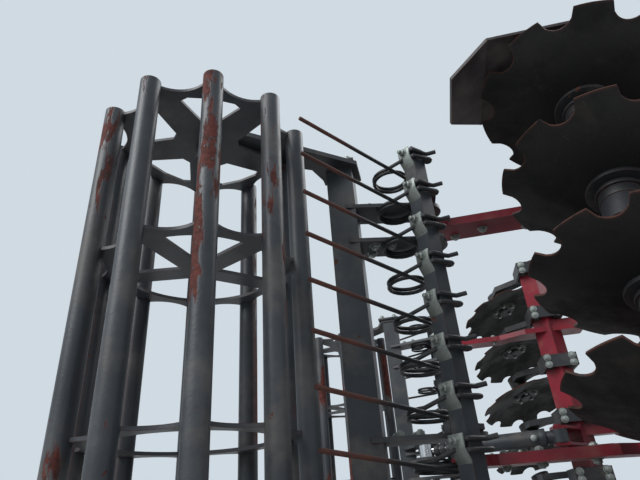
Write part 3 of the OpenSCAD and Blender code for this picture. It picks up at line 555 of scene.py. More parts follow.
@dataclass(frozen=True)
class BladeSteel(Finish):
    """Dark rolled disc steel with a rusty, polished rim. The mesh's rim attribute is 1 at the edge."""

    rust: Colour = seen(78, 46, 36)
    soil: Colour = seen(52, 46, 41)

    def dress(self, graph: Graph, shader: bpy.types.Node) -> None:
        """Mill scale, soil marks and a rusty rim."""
        where = graph.add("ShaderNodeTexCoord").outputs["Object"]
        rim = graph.add("ShaderNodeAttribute", attribute_name="rim").outputs["Fac"]
        tone = graph.use(Effects.patches(), Vector=where, Scale=9.0, Threshold=0.52, Softness=0.12)
        colour = graph.mix(self.colour, tuple(c * 0.55 for c in self.colour), tone.outputs[0])
        soil = graph.use(Effects.patches(), Vector=where, Scale=16.0, Threshold=0.63, Softness=0.06)
        colour = graph.mix(colour, self.soil, graph.math("MULTIPLY", soil.outputs[0], 0.35))
        specks = graph.use(Effects.patches(), Vector=where, Scale=140.0, Threshold=0.66, Softness=0.02)
        colour = graph.mix(colour, self.rust, graph.math("MULTIPLY", specks.outputs[0], 0.5))
        ragged = graph.use(Effects.patches(), Vector=where, Scale=45.0, Threshold=0.42, Softness=0.1)
        edge = graph.math("MULTIPLY", graph.math("POWER", rim, 3.0), ragged.outputs[0], clamp=True)
        edge = graph.math("MULTIPLY", edge, 0.7)
        colour = graph.mix(colour, self.rust, edge)
        graph.feed(shader.inputs["Base Color"], colour)
        graph.feed(shader.inputs["Roughness"], graph.blend(self.roughness, 0.8, tone.outputs[0]))
        graph.feed(shader.inputs["Specular IOR Level"], 0.3)
        grain = graph.use(Effects.grain(), Vector=where, Scale=220.0, Waviness=1.2)
        self.bump(graph, shader, grain.outputs[0], 0.0006)


@dataclass(frozen=True)
class TineSteel(Finish):
    """Spring steel: black in its coils, rusty towards the tip, where the along attribute is 1."""

    rust: Colour = seen(88, 54, 46)

    def dress(self, graph: Graph, shader: bpy.types.Node) -> None:
        """Black scale that gives way to rust."""
        where = graph.add("ShaderNodeTexCoord").outputs["Object"]
        along = graph.add("ShaderNodeAttribute", attribute_name="along").outputs["Fac"]
        noise = graph.use(Effects.patches(), Vector=where, Scale=38.0, Threshold=0.5, Softness=0.2)
        reach = graph.add("ShaderNodeMapRange", interpolation_type="SMOOTHSTEP", Value=along,
                          From_Min=0.42, From_Max=0.72)
        patchy = graph.blend(0.55, 1.0, noise.outputs[0])
        mask = graph.math("MULTIPLY", reach.outputs[0], patchy, clamp=True)
        specks = graph.use(Effects.patches(), Vector=where, Scale=120.0, Threshold=0.64, Softness=0.03)
        mask = graph.math("MAXIMUM", mask, graph.math("MULTIPLY", specks.outputs[0], 0.35))
        graph.feed(shader.inputs["Base Color"], graph.mix(self.colour, self.rust, mask))
        graph.feed(shader.inputs["Roughness"], graph.blend(self.roughness, 0.85, mask))
        graph.feed(shader.inputs["Specular IOR Level"], 0.35)
        grain = graph.use(Effects.grain(), Vector=where, Scale=320.0, Waviness=0.5)
        self.bump(graph, shader, grain.outputs[0], 0.0004)


@dataclass(frozen=True)
class Plated(Finish):
    """Zinc-plated or chromed steel, with a cloudy tone."""

    cloud: Colour = seen(120, 124, 120)
    metallic: float = 0.85

    def dress(self, graph: Graph, shader: bpy.types.Node) -> None:
        """Metal with clouds of duller tone."""
        where = graph.add("ShaderNodeTexCoord").outputs["Object"]
        clouds = graph.use(Effects.patches(), Vector=where, Scale=40.0, Threshold=0.5, Softness=0.18)
        graph.feed(shader.inputs["Base Color"], graph.mix(self.colour, self.cloud, clouds.outputs[0]))
        dull = graph.blend(self.roughness, self.roughness + 0.2, clouds.outputs[0])
        graph.feed(shader.inputs["Roughness"], dull)
        graph.feed(shader.inputs["Metallic"], self.metallic)
        grain = graph.use(Effects.grain(), Vector=where, Scale=500.0, Waviness=0.3)
        self.bump(graph, shader, grain.outputs[0], 0.0002)


@dataclass(frozen=True)
class Rubber(Finish):
    """Matt black rubber with a bloom of dust."""

    def dress(self, graph: Graph, shader: bpy.types.Node) -> None:
        """Rubber with dust in patches."""
        where = graph.add("ShaderNodeTexCoord").outputs["Object"]
        dust = graph.use(Effects.patches(), Vector=where, Scale=18.0, Threshold=0.55, Softness=0.15)
        bloom = tuple(c + 0.03 for c in self.colour)
        graph.feed(shader.inputs["Base Color"], graph.mix(self.colour, bloom, dust.outputs[0]))
        graph.feed(shader.inputs["Roughness"], graph.blend(self.roughness, 0.95, dust.outputs[0]))
        grain = graph.use(Effects.grain(), Vector=where, Scale=400.0, Waviness=0.3)
        self.bump(graph, shader, grain.outputs[0], 0.0003)


FRAME_RED = Paint("frame_red_paint", "frame_red", seen(126, 20, 37), 0.38, shade=seen(92, 14, 28),
                  bare=seen(80, 66, 62), dust=seen(128, 96, 88), dust_threshold=0.6)
CARRIER_GREY = Paint("carrier_grey_paint", "carrier_grey", seen(58, 63, 68), 0.45, shade=seen(42, 46, 51),
                     bare=seen(92, 56, 46))
ARM_GREY = Paint("arm_grey_paint", "carrier_grey", seen(46, 49, 53), 0.5, shade=seen(32, 34, 38),
                 bare=seen(84, 58, 48))
# Side plate: the real plate is red paint, and this colour is that red darkened to its look in shadow, so
# painted shade is in the plate's colour.
PLATE_RED_IN_PAINTED_SHADE = Paint("side_plate_painted_shade", "plate_black", seen(48, 42, 45), 0.4, shade=seen(34, 29, 32),
                    bare=seen(96, 70, 60), chip_threshold=0.7)
BLADE = BladeSteel("blade_steel", "disc_steel", seen(24, 23, 23), 0.55)
HUB_CAST = Paint("hub_paint", "disc_steel", seen(40, 42, 44), 0.5, shade=seen(28, 29, 31))
TINE = TineSteel("tine_steel", "spring_steel", seen(34, 36, 38), 0.45)
ZINC = Plated("zinc_plating", "rod_chrome", seen(156, 162, 158), 0.45, cloud=seen(130, 136, 132))
CHROME = Plated("rod_chrome_plating", "rod_chrome", seen(205, 207, 208), 0.12, cloud=seen(188, 190, 192),
                metallic=1.0)
RUBBER = Rubber("arm_rubber", "spring_steel", seen(26, 26, 27), 0.75)


def hex_bolt(across: float, head: float, washer: float = 1.35, stub: float = 0.0) -> Shape:
    """A hexagon head on its washer, standing on the origin and rising along Z.

    Args:
        across: width of the hexagon across its corners.
        head: height of the hexagon.
        washer: the washer's width as a share of the hexagon's.
        stub: length of thread that stands out above it.

    Returns:
        The bolt's shape.
    """
    up = Vector((0, 0, 1))
    plate = head * 0.22
    made = Shape()
    made.rod(Vector((0, 0, 0)), up * plate, across / 2 * washer, sides=16)
    made.rod(up * plate, up * (plate + head), across / 2, sides=6, bevel=head * 0.1)
    if stub > 0:
        top = plate + head
        made.rod(up * top, up * (top + stub), across * 0.28, sides=10, bevel=head * 0.08)
    return made


@dataclass
class TineRow:
    """The spring tines of one wing, with the plates and hooks that hold them to their bar."""

    wing: Wing
    count: int = 17
    pitch: float = 0.1165
    outermost: float = 2.001
    wire: float = 0.0055
    coil_radius: float = 0.050
    coil_step: float = 0.0122
    coil_centre: tuple[float, float] = (0.482, 0.560)
    bar_centre: tuple[float, float] = (0.561, 0.524)
    bar_side: float = 0.045
    coil_drop: float = 0.038
    tip: tuple[float, float] = (0.279, 0.233)
    tip_drop: float = 0.011
    rod: float = 0.0062

    @property
    def bar(self) -> Vector:
        """Station and height of the bar's middle, as a point at distance 0."""
        return Vector((self.bar_centre[0], 0, self.bar_centre[1]))

    @property
    def bar_corner(self) -> float:
        """Half the bar's width across its corners."""
        return self.bar_side / math.sqrt(2)

    def _distances(self) -> list[float]:
        """Distance out of each clamp."""
        return [self.outermost - i * self.pitch for i in range(self.count)]

    def _wire_path(self) -> tuple[list[Vector], list[float]]:
        """Centre line of one tine, with its clamp at distance 0, and how near each point is to the tip."""
        cx, ch = self.coil_centre
        to_tip = Vector((self.tip[0] - cx, self.tip[1] - ch))
        reach = math.acos(self.coil_radius / to_tip.length)
        start = math.atan2(to_tip.y, to_tip.x) + reach
        off_bar = BAR_FACE * (self.bar_corner * BAR_FACE + self.wire)
        hold = Vector((self.bar.x, self.bar.z)) - Vector((1, 1)) * off_bar
        to_hold = hold - Vector((cx, ch))
        end = math.atan2(to_hold.y, to_hold.x) - math.acos(self.coil_radius / to_hold.length)
        while start > end - 2 * math.pi:
            start -= 2 * math.pi
        low = -self.coil_drop - self.coil_step
        turns = (end - start) / (2 * math.pi)
        path = [Vector((self.tip[0], -self.tip_drop, self.tip[1]))]
        marks = [1.0]
        steps = int(turns * 22)
        for i in range(steps + 1):
            angle = start + (end - start) * i / steps
            path.append(Vector((cx + self.coil_radius * math.cos(angle),
                                low + self.coil_step * turns * i / steps,
                                ch + self.coil_radius * math.sin(angle))))
            marks.append(0.12)
        leg = path[1] - path[0]
        share = 8
        between = [path[0] + leg * (k / share) for k in range(1, share)]
        path[1:1] = between
        marks[1:1] = [1 - k / share for k in range(1, share)]
        path.append(Vector((hold.x, -0.004, hold.y)))
        marks.append(0.0)
        return path, marks

    def _clamp(self) -> Shape:
        """Bent plate on the bar's lower rear face, in its own frame: X along the bar, Z off the face."""
        made = Shape()
        thick = 0.005
        half = 0.0225
        made.box((-0.008, -half, 0.0), (0.024, half, thick), bevel=0.0012)
        slope = Matrix.Translation((-0.008, 0, 0)) @ Matrix.Rotation(math.radians(-28), 4, "Y")
        made.stamp(Shape().box((-0.036, -half, 0.0), (0.002, half, thick), bevel=0.0012), slope)
        return made

    def _hook(self, straight: bool) -> Shape:
        """Rod that wraps the bar from its lower rear face to its front corner."""
        c = self.bar_corner + self.rod * 1.25
        bar = self.bar
        start = bar + Vector((-1, 0, -1)) * (c / 2) + Vector((-0.006, 0, 0.006))
        bottom = bar + Vector((0, 0, -c))
        front = bar + Vector((c, 0, 0))
        way_in, way_out = (bottom - start).normalized(), (front - bottom).normalized()
        path = [start, bottom - way_in * 0.007, bottom + (way_out - way_in) * 0.0018,
                bottom + way_out * 0.007]
        way = (front - bottom).normalized()
        if straight:
            path += [front - way * 0.006, front + Vector((0.004, 0, 0.001)),
                     front + Vector((0.03, 0.004, 0.003))]
        else:
            curl = front + Vector((0.002, 0, 0.001))
            turn_radius = 0.0085
            for k in range(0, 8):
                angle = math.radians(-45 + k * 40)
                across, up = math.cos(angle) * turn_radius, math.sin(angle) * turn_radius
                path.append(curl + Vector((across, 0, up)))
        return Shape().sweep(path, self.rod, sides=10)

    def build(self) -> None:
        """Builds the wires, plates, bolts and hooks, and lets the wires stand for the solid tines."""
        place = self.wing.place()
        body = self.wing.name("roller_carrier")
        path, marks = self._wire_path()
        one = Shape().sweep(path, self.wire, sides=10, marks=marks)
        wires, plates, bolts, hooks = Shape(), Shape(), Shape(), Shape()
        wires.bm.verts.layers.float.new("along")
        clamp, bolt = self._clamp(), hex_bolt(0.021, 0.008, stub=0.010)
        upper, lower = self._hook(True), self._hook(False)
        off_face = Vector((-1, 0, -1)).normalized()
        face_point = self.bar + off_face * (self.bar_corner * BAR_FACE + 2 * self.wire)
        for distance in self._distances():
            out = Vector((0, distance, 0))
            wires.stamp(one, Matrix.Translation(out))
            seat = frame_along(face_point + out, off_face, Vector((0, 1, 0)))
            plates.stamp(clamp, seat)
            bolts.stamp(bolt, seat @ Matrix.Translation((0.010, 0, 0.005)))
            hooks.stamp(upper, Matrix.Translation(out + Vector((0, 0.012, 0))))
            hooks.stamp(lower, Matrix.Translation(out + Vector((0, -0.012, 0))))
        made = wires.piece(self.wing.name("tine_wires"), TINE, body, place)
        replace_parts(made, self.wing.name("tines"))
        plates.piece(self.wing.name("tine_plates"), ZINC, body, place)
        bolts.piece(self.wing.name("tine_bolts"), ZINC, body, place)
        hooks.piece(self.wing.name("tine_hooks"), ARM_GREY, body, place)
        CARRIER_GREY.apply(self.wing.name("tine_bar"))


@dataclass
class DiscRow:
    """One row of notched discs on a wing, each a piece of its own on its hub."""

    wing: Wing
    row: Row
    count: int = 8
    radius: float = 0.255
    thickness: float = 0.006
    dish_radius: float = 0.700
    notches: int = 10
    notch_radius: float = 0.040
    notch_depth: float = 0.036
    hub_radius: float = 0.048
    hub_length: float = 0.045
    plate_radius: float = 0.072
    seen_turns: dict[int, float] = field(default_factory=lambda: {8: 1.981, 7: 2.262, 6: 2.162, 5: 2.236})

    @property
    def dish_depth(self) -> float:
        """Depth of the dished form."""
        return self.dish_radius - math.sqrt(self.dish_radius ** 2 - self.radius ** 2)

    def _dish(self, radius: float) -> float:
        """Height of the dish at a radius, with the rim of a round disc at 0."""
        return self.dish_radius - math.sqrt(self.dish_radius ** 2 - radius ** 2) - self.dish_depth

    def _outline(self) -> list[tuple[float, float]]:
        """Angle and radius of each point of the notched rim."""
        centre = self.radius + self.notch_radius - self.notch_depth
        reach = self.radius ** 2 + centre ** 2 - self.notch_radius ** 2
        half = math.acos(reach / (2 * self.radius * centre))
        pitch = 2 * math.pi / self.notches
        points = []
        for n in range(self.notches):
            for k in range(10):
                a = -half + 2 * half * k / 10
                depth = self.notch_radius ** 2 - (centre * math.sin(a)) ** 2
                inward = centre * math.cos(a) - math.sqrt(max(0.0, depth))
                points.append((n * pitch + a, min(self.radius, inward)))
            for k in range(6):
                points.append((n * pitch + half + (pitch - 2 * half) * k / 6, self.radius))
        return points

    def _blade(self) -> Shape:
        """The notched, dished blade, about Z with its hollow side up."""
        made = Shape()
        layer = made.bm.verts.layers.float.new("rim")
        outline = self._outline()
        circle = bmesh.ops.create_circle(made.bm, cap_ends=False, radius=self.radius, segments=len(outline))
        ring = circle["verts"]
        for v, (angle, radius) in zip(ring, outline):
            v.co = Vector((radius * math.cos(angle), radius * math.sin(angle), self._dish(radius)))
            v[layer] = 1.0
        edges = list({e for v in ring for e in v.link_edges})
        inner = self.radius - self.notch_depth
        for share, flat in ((0.965, 0.0), (0.86, 0.35), (0.68, 1.0), (0.45, 1.0), (0.22, 1.0), (0.05, 1.0)):
            grown = bmesh.ops.extrude_edge_only(made.bm, edges=edges)["geom"]
            verts = [g for g in grown if isinstance(g, bmesh.types.BMVert)]
            edges = [g for g in grown if isinstance(g, bmesh.types.BMEdge)]
            for v in verts:
                angle = math.atan2(v.co.y, v.co.x)
                now = math.hypot(v.co.x, v.co.y)
                wavy = now * share if flat < 1 else inner * share / 0.68 * 0.86
                target = wavy * (1 - flat) + min(wavy, self.radius * share) * flat
                v.co = Vector((target * math.cos(angle), target * math.sin(angle), self._dish(target)))
                v[layer] = 0.0
        bmesh.ops.contextual_create(made.bm, geom=edges)
        bmesh.ops.recalc_face_normals(made.bm, faces=made.bm.faces)
        bmesh.ops.solidify(made.bm, geom=made.bm.faces[:], thickness=self.thickness)
        bmesh.ops.recalc_face_normals(made.bm, faces=made.bm.faces)
        return made

    def _hub(self) -> Shape:
        """Hub on the round side, and the bolted plate in the hollow."""
        up = Vector((0, 0, 1))
        floor = up * -self.dish_depth
        made = Shape()
        made.rod(floor - up * self.hub_length, floor, self.hub_radius, sides=32, bevel=0.003)
        made.rod(floor - up * self.hub_length * 0.45, floor - up * self.hub_length * 0.2,
                 self.hub_radius + 0.006, sides=32, bevel=0.002)
        made.rod(floor - up * 0.006, floor + up * 0.012, self.plate_radius, sides=40, bevel=0.002)
        made.rod(floor + up * 0.012, floor + up * 0.020, 0.026, sides=24, bevel=0.003)
        return made

    def _bolts(self) -> Shape:
        """Five bolts in the hub's plate."""
        made = Shape()
        bolt = hex_bolt(0.020, 0.009, washer=1.2)
        for n in range(5):
            angle = 2 * math.pi * n / 5 + 0.3
            at = Vector((0.052 * math.cos(angle), 0.052 * math.sin(angle), 0.012 - self.dish_depth))
            made.stamp(bolt, Matrix.Translation(at))
        return made

    def _turn(self, number: int, seat: Matrix) -> float:
        """Angle by which a disc has come to rest about its hub.

        Args:
            number: the disc's number in its row.
            seat: the frame of its hub.

        Returns:
            The angle, with the discs that face the camera turned as they are in the photo.
        """
        faces_camera = self.wing.side is Side.RIGHT and self.row is Row.REAR
        shown = self.seen_turns.get(number) if faces_camera else None
        if shown is None:
            return number * 1.9 + (0.7 if self.row is Row.FRONT else 0.0)
        place = self.wing.place().to_3x3()
        local = place.inverted() @ seat.col[2].to_3d()
        across = local.cross(Vector((0, 0, 1))).normalized()
        notch = place @ (across * math.cos(shown) + local.cross(across) * math.sin(shown))
        return math.atan2(notch.dot(seat.col[1].to_3d()), notch.dot(seat.col[0].to_3d()))

    def build(self) -> None:
        """Builds each disc on its own body."""
        blade, hub, bolts = self._blade(), self._hub(), self._bolts()
        for number in range(1, self.count + 1):
            node = f"{self.row.value}_disc_{self.wing.side.value}_{number}"
            joint = self.wing.joint(f"{node}_spin")
            seat = frame_along(Vector(joint["pos_m"]), Vector(joint["axis"]))
            seat = seat @ Matrix.Rotation(self._turn(number, seat), 4, "Z")
            made = Shape()
            made.bm.verts.layers.float.new("rim")
            made.stamp(blade, seat)
            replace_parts(made.piece(f"blade_{node}", BLADE, node), node)
            Shape().stamp(hub, seat).piece(f"hub_{node}", HUB_CAST, node)
            Shape().stamp(bolts, seat).piece(f"bolts_{node}", ZINC, node)


@dataclass
class DiscClamps:
    """Rubber cords and bolts of the clamps that hold a wing's disc arms to their beams."""

    wing: Wing
    count: int = 8
    pitch: float = 0.250
    arm_offset: float = 0.129
    arm_thickness: float = 0.028
    clamp_width: float = 0.060
    clamp_side: float = 0.156
    cord_radius: float = 0.0195
    cord_reach: float = 0.046
    beam_height: float = 0.712
    rails: tuple[float, ...] = (0.545, 1.156, 1.809)
    rail_thickness: float = 0.025
    inner_end: float = 0.016

    def _middle(self, row: Row, number: int) -> Vector:
        """Middle of one clamp."""
        first = {Row.REAR: {Side.RIGHT: 0.219, Side.LEFT: 0.281},
                 Row.FRONT: {Side.RIGHT: 0.090, Side.LEFT: 0.160}}[row][self.wing.side]
        sign = self.wing.side.sign if row is Row.REAR else -self.wing.side.sign
        arm = first + number * self.pitch + sign * self.arm_offset
        inner = arm + self.arm_thickness / 2 - self.clamp_width
        rails = self.rails if row is Row.REAR else ()
        blocked = any(inner - self.rail_thickness < r < arm + self.rail_thickness for r in rails)
        way = 1 if inner < self.inner_end or blocked else -1
        station = 1.125 if row is Row.REAR else 2.005
        return Vector((station, arm + way * (self.clamp_width - self.arm_thickness) / 2, self.beam_height))

    def build(self) -> None:
        """Builds the cords' ends and the bolts of every clamp on the wing."""
        cords, bolts = Shape(), Shape()
        bolt = hex_bolt(0.026, 0.008, stub=0.002)
        half = self.clamp_side / 2
        for row in Row:
            for number in range(self.count):
                at = self._middle(row, number)
                for sx, sz in ((-1, -1), (-1, 1), (1, -1), (1, 1)):
                    centre = at + Vector((sx, 0, sz)) * self.cord_reach
                    reach = Vector((0, self.clamp_width / 2 + 0.004, 0))
                    cords.rod(centre - reach, centre + reach, self.cord_radius, sides=14, bevel=0.003)
                for sx in (-1, 1):
                    for sd in (-1, 1):
                        top = at + Vector((sx * 0.056, sd * 0.016, half))
                        bolts.stamp(bolt, frame_along(top, Vector((0, 0, 1))))
        place, body = self.wing.place(), self.wing.name("wing")
        cords.piece(self.wing.name("arm_cords"), RUBBER, body, place)
        bolts.piece(self.wing.name("clamp_bolts"), ZINC, body, place)


@dataclass
class RollerMount:
    """Bearings, end plates, pin heads and bolts of a roller carrier."""

    wing: Wing
    rails: tuple[float, ...] = (0.545, 1.156, 1.809)
    pivot: tuple[float, float] = (0.568, 0.620)
    axle_height: float = 0.270
    beam: tuple[float, float] = (0.330, 0.554)
    outer_face: float = 2.027
    arm_faces: float = 0.064
    hanger_faces: float = 0.076

    def _bearing(self) -> tuple[Shape, Shape]:
        """Flanged bearing on the outer side arm's face, and its bolts."""
        out = Vector((0, 1, 0))
        centre = Vector((0, self.outer_face, self.axle_height))
        body = Shape()
        body.rod(centre - out * 0.002, centre + out * 0.014, 0.056, sides=32, bevel=0.002)
        body.rod(centre + out * 0.014, centre + out * 0.030, 0.040, sides=32, bevel=0.004)
        body.rod(centre + out * 0.030, centre + out * 0.036, 0.018, sides=20, bevel=0.002)
        bolts = Shape()
        bolt = hex_bolt(0.018, 0.007, stub=0.004)
        for k in range(4):
            angle = math.pi / 4 + k * math.pi / 2
            at = centre + Vector((math.cos(angle), 0, math.sin(angle))) * 0.048 + out * 0.014
            bolts.stamp(bolt, frame_along(at, out))
        return body, bolts

    def build(self) -> None:
        """Builds the bearings, the beam's end plates, the pivots' heads and the bolts between them."""
        castings, bolts = self._bearing()
        plates, pins = Shape(), Shape()
        x, h = self.beam
        low = (x - 0.062, self.outer_face - 0.002, h - 0.056)
        high = (x + 0.052, self.outer_face + 0.010, h + 0.056)
        plates.box(low, high, bevel=0.003)
        big, small = hex_bolt(0.028, 0.011, stub=0.006), hex_bolt(0.024, 0.009, stub=0.004)
        for sx in (-0.040, 0.030):
            for sh in (-0.034, 0.034):
                at = Vector((x + sx, self.outer_face + 0.010, h + sh))
                bolts.stamp(big, frame_along(at, Vector((0, 1, 0))))
        pivot_x, pivot_h = self.pivot
        slope = math.atan2(pivot_h - h, pivot_x - x)
        along = Vector((math.cos(slope), 0, math.sin(slope)))
        rise = Vector((-math.sin(slope), 0, math.cos(slope)))
        for rail in self.rails:
            for way in (-1, 1):
                out = Vector((0, way, 0))
                centre = Vector((pivot_x, rail + way * self.hanger_faces, pivot_h))
                pins.rod(centre - out * 0.002, centre + out * 0.008, 0.030, sides=28, bevel=0.002)
                pins.rod(centre + out * 0.008, centre + out * 0.018, 0.016, sides=20, bevel=0.002)
                face = Vector((x, rail + way * self.arm_faces, h))
                for step, lift in ((0.075, 0.024), (0.075, -0.024), (0.125, 0.024), (0.125, -0.024)):
                    at = face + along * step + rise * lift
                    bolts.stamp(small, frame_along(at, out))
        place, body = self.wing.place(), self.wing.name("roller_carrier")
        castings.piece(self.wing.name("roller_bearings"), ARM_GREY, body, place)
        plates.piece(self.wing.name("carrier_plates"), CARRIER_GREY, body, place)
        bolts.piece(self.wing.name("carrier_bolts"), ZINC, body, place)
        pins.piece(self.wing.name("pivot_heads"), ZINC, body, place)


@dataclass
class Cylinder:
    """Gland, ports and stop clips of a cylinder, set along the line of its packed joints."""

    wing: Wing
    kind: str
    barrel_length: float
    barrel_radius: float
    rod_radius: float
    start: float = 0.060
    eye_reach: float = 0.0
    eye_radius: float = 0.034
    clips: int = 0

    def build(self) -> None:
        """Builds the rear cap, gland ring and two ports, and the stop clips on a depth cylinder's rod."""
        barrel, rod = self.wing.name(f"{self.kind}_barrel"), self.wing.name(f"{self.kind}_rod")
        swing = self.wing.joint(f"{barrel}_swing")
        start, pin = Vector(swing["pos_m"]), Vector(swing["axis"])
        way = Vector(self.wing.joint(f"{rod}_slide")["axis"]).normalized()
        fittings, ports, clips = Shape(), Shape(), Shape()
        end = start + way * (self.start + self.barrel_length)
        gland, cap = self.barrel_radius + 0.005, self.barrel_radius + 0.004
        fittings.rod(end - way * 0.034, end + way * 0.004, gland, sides=36, bevel=0.002)
        rear = start + way * self.start
        fittings.rod(rear - way * 0.004, rear + way * 0.022, cap, sides=36, bevel=0.002)
        across = way.cross(pin).normalized()
        across = -across if across.z < 0 else across
        for reach in (self.start + 0.045, self.start + self.barrel_length - 0.060):
            foot = start + way * reach
            collar = foot + across * (self.barrel_radius + 0.012)
            ports.rod(foot + across * (self.barrel_radius - 0.004), collar, 0.013, sides=20, bevel=0.001)
            ports.rod(collar, collar + across * 0.014, 0.011, sides=6, bevel=0.001)
        fittings.piece(f"{barrel}_rings", CARRIER_GREY, barrel)
        ports.piece(f"{barrel}_ports", ZINC, barrel)
        for number in range(self.clips):
            near = start + way * (self.eye_reach - self.eye_radius - 0.004 - 0.029 * number)
            clips.rod(near - way * 0.026, near, self.rod_radius + 0.009, sides=24, bevel=0.003)
        if self.clips:
            clips.piece(f"{rod}_clips", ARM_GREY, rod)


@dataclass
class WingFittings:
    """Bolts and pins on a wing's frame, side plate and stand sleeve."""

    wing: Wing
    rails: tuple[float, ...] = (0.545, 1.156, 1.809)
    rail_half: float = 0.0125
    rail_bolts: tuple[tuple[float, float], ...] = ((0.650, 0.678), (0.730, 0.652), (0.860, 0.678))
    plate_face: float = 2.079
    plate_station: float = 1.125
    leg_station: float = 0.676
    leg_height: float = 0.562
    sleeve_half: float = 0.0383

    def build(self) -> None:
        """Builds the bolts on the rails and the side plate, and the head of the stand's pin."""
        bolts, pins = Shape(), Shape()
        bolt = hex_bolt(0.022, 0.008, stub=0.003)
        for rail in self.rails:
            for way in (-1, 1):
                for x, h in self.rail_bolts:
                    at = Vector((x, rail + way * self.rail_half, h))
                    bolts.stamp(bolt, frame_along(at, Vector((0, way, 0))))
        for x in (-0.024, 0.024):
            at = Vector((self.plate_station + x, self.plate_face, 0.643))
            bolts.stamp(bolt, frame_along(at, Vector((0, 1, 0))))
        back = Vector((-1, 0, 0))
        seat = Vector((self.leg_station - self.sleeve_half, self.rails[0] + 0.026, self.leg_height))
        pins.rod(seat + back * -0.001, seat + back * 0.006, 0.016, sides=24, bevel=0.001)
        pins.rod(seat + back * 0.006, seat + back * 0.030, 0.009, sides=20, bevel=0.002)
        pins.ring(seat + back * 0.020 + Vector((0, 0, -0.020)) - Vector((0, 0.0015, 0)), Vector((0, 1, 0)),
                  0.013, 0.016, 0.003, sides=20)
        place, body = self.wing.place(), self.wing.name("wing")
        bolts.piece(self.wing.name("rail_bolts"), ZINC, body, place)
        pins.piece(self.wing.name("stand_pin"), ZINC, body, place)


@dataclass
class HeadstockFittings:
    """Linch pins, collars and stand pins on the headstock."""

    link_station: float = 2.625
    link_height: float = 0.640
    cheek_inner: float = 0.360
    pin_end: float = 0.500
    leg_station: float = 2.390
    leg_distance: float = 0.300
    sleeve_half: float = 0.0383

    def build(self) -> None:
        """Builds the fittings of both sides."""
        made = Shape()
        middle = Wing(Side.RIGHT).roller_x
        x = middle + self.link_station
        for way in (-1, 1):
            out = Vector((0, way, 0))
            inner = Vector((x, way * self.cheek_inner, self.link_height))
            made.rod(inner + out * 0.001, inner - out * 0.010, 0.026, sides=6, bevel=0.001)
            tip = Vector((x, way * (self.pin_end - 0.010), self.link_height))
            low, high = tip - Vector((0, 0, 0.022)), tip + Vector((0, 0, 0.028))
            made.rod(low, high, 0.0035, sides=12, bevel=0.001)
            made.ring(tip + Vector((0, 0, 0.022)) - out * 0.0015, out, 0.013, 0.016, 0.003, sides=20)
            leg = Vector((middle + self.leg_station - self.sleeve_half, way * self.leg_distance,
                          self.link_height + 0.070))
            back = Vector((-1, 0, 0))
            made.rod(leg - back * 0.001, leg + back * 0.006, 0.016, sides=24, bevel=0.001)
            made.rod(leg + back * 0.006, leg + back * 0.030, 0.009, sides=20, bevel=0.002)
        made.piece("headstock_pins", ZINC, "centre")


@dataclass
class TubeRoller:
    """The tube roller of one wing."""

    wing: Wing
    patch_offset: tuple[float, float, float] = (0.0, 0.0, 0.0)

    def build(self) -> None:
        """Paints the roller."""
        low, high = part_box(self.wing.name("roller"))
        middle = (low + high) / 2
        paint = RollerPaint(
            self.wing.name("roller_paint"), "carrier_grey", seen(60, 64, 69), 0.42, shade=seen(44, 47, 52),
            bare=seen(88, 42, 35), axis=(middle.x, middle.y), patch_offset=self.patch_offset,
        )
        paint.apply(self.wing.name("roller"))


@dataclass
class PlainFinishes:
    """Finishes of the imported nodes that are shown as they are."""

    def build(self) -> None:
        """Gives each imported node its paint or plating."""
        FRAME_RED.apply("centre_frame")
        FRAME_RED.apply("headstock")
        for side in Side:
            wing = Wing(side)
            FRAME_RED.apply(wing.name("wing_frame"))
            ARM_GREY.apply(wing.name("disc_arms"))
            # The side plate's finish carries painted shade: red paint darkened to its look in shadow.
            PLATE_RED_IN_PAINTED_SHADE.apply(wing.name("side_plate"))
            for part in ("front_stand", "wing_stand", "roller_carrier", "fold_barrel", "depth_barrel"):
                CARRIER_GREY.apply(wing.name(part))
            for part in ("fold_rod", "depth_rod"):
                CHROME.apply(wing.name(part))


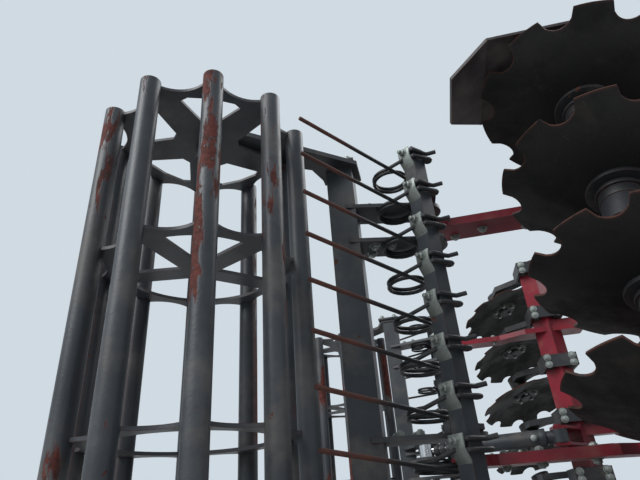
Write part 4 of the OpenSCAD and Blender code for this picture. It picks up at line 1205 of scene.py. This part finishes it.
@dataclass
class Studio:
    """Floor, sky, lamps and camera."""

    sky: Colour = seen(208, 218, 226)
    floor: Colour = seen(196, 198, 198)
    eye: tuple[float, float, float] = (-0.705, -2.060, 1.500)
    heading: float = -11.0
    pitch: float = 28.7
    roll: float = -4.27
    lens: float = 28.125
    sensor: float = 36.0
    lamps: list[tuple[Sequence[float], float, float]] = field(default_factory=lambda: [
        ((-6.0, -7.0, 8.0), 6.0, 900.0),
        ((6.0, 5.0, 9.0), 7.0, 700.0),
    ])

    def _world(self) -> None:
        """Even sky light. What the camera and reflections see is the pale backdrop colour."""
        world = bpy.data.worlds.new("studio")
        bpy.context.scene.world = world
        world.use_nodes = True
        world.node_tree.nodes.clear()
        g = Graph(world.node_tree)
        path = g.add("ShaderNodeLightPath")
        direct = g.math("MAXIMUM", path.outputs["Is Camera Ray"], path.outputs["Is Glossy Ray"])
        direct = g.math("MAXIMUM", direct, path.outputs["Is Transmission Ray"])
        light = g.add("ShaderNodeBackground", Color=seen(236, 240, 245), Strength=0.62)
        backdrop = g.add("ShaderNodeBackground", Color=self.sky, Strength=1.0)
        choice = g.add("ShaderNodeMixShader")
        g.feed(choice.inputs[0], direct)
        g.feed(choice.inputs[1], light.outputs[0])
        g.feed(choice.inputs[2], backdrop.outputs[0])
        out = g.add("ShaderNodeOutputWorld")
        g.feed(out.inputs["Surface"], choice.outputs[0])

    def _floor(self) -> None:
        """Plain pale floor."""
        shape = bmesh.new()
        bmesh.ops.create_grid(shape, x_segments=1, y_segments=1, size=30.0)
        mesh = bpy.data.meshes.new("floor")
        shape.to_mesh(mesh)
        shape.free()
        made = bpy.data.objects.new("floor", mesh)
        bpy.context.scene.collection.objects.link(made)
        material = bpy.data.materials.new("floor")
        material.use_nodes = True
        shader = material.node_tree.nodes["Principled BSDF"]
        shader.inputs["Base Color"].default_value = (*self.floor, 1)
        shader.inputs["Roughness"].default_value = 0.9
        mesh.materials.append(material)

    def _lamp(self, number: int, at: Sequence[float], size: float, power: float) -> None:
        """A large soft lamp that faces the machine."""
        data = bpy.data.lights.new(f"lamp_{number}", "AREA")
        data.size = size
        data.energy = power
        made = bpy.data.objects.new(f"lamp_{number}", data)
        made.location = at
        made.rotation_mode = "QUATERNION"
        made.rotation_quaternion = (Vector((0, 0, 1.3)) - Vector(at)).to_track_quat("-Z", "Y")
        bpy.context.scene.collection.objects.link(made)

    def _camera(self) -> None:
        """The photograph's viewpoint: low beside the right roller, looking up along the folded wing."""
        data = bpy.data.cameras.new("camera")
        data.lens = self.lens
        data.sensor_width = self.sensor
        data.clip_start = 0.05
        data.clip_end = 200
        made = bpy.data.objects.new("camera", data)
        made.location = self.eye
        made.rotation_mode = "XYZ"
        level = Matrix.Rotation(math.radians(-self.heading), 3, "Z") @ Matrix.Rotation(
            math.radians(90 + self.pitch), 3, "X")
        made.rotation_euler = (level @ Matrix.Rotation(math.radians(self.roll), 3, "Z")).to_euler()
        bpy.context.scene.collection.objects.link(made)
        bpy.context.scene.camera = made

    def build(self) -> None:
        """Sets up what is round the machine."""
        bpy.context.scene.view_settings.view_transform = "Standard"
        self._world()
        self._floor()
        for number, (at, size, power) in enumerate(self.lamps):
            self._lamp(number, at, size, power)
        self._camera()


# Station of each wing's stand, and station and outer face of its side plate, in metres
LEG_STATIONS = {Side.RIGHT: 0.676, Side.LEFT: 0.766}
SIDE_PLATES = {Side.RIGHT: (1.125, 2.079), Side.LEFT: (2.005, 2.024)}


def main() -> None:
    """Builds everything in order."""
    logging.basicConfig(level=logging.INFO, format="%(message)s")
    Studio().build()
    PlainFinishes().build()
    for side in Side:
        wing = Wing(side)
        TubeRoller(wing).build()
        TineRow(wing).build()
        for row in Row:
            DiscRow(wing, row).build()
        rails = LEFT_RAILS if side is Side.LEFT else RIGHT_RAILS
        DiscClamps(wing, rails=rails).build()
        RollerMount(wing, rails=rails).build()
        leg = LEG_STATIONS[side]
        station, face = SIDE_PLATES[side]
        WingFittings(wing, rails=rails, leg_station=leg, plate_station=station, plate_face=face).build()
        Cylinder(wing, "fold", 0.385, 0.040, 0.020).build()
        Cylinder(wing, "depth", 0.340, 0.035, 0.0175, eye_reach=0.592, clips=3).build()
    HeadstockFittings().build()


if __name__ == "__main__":
    main()
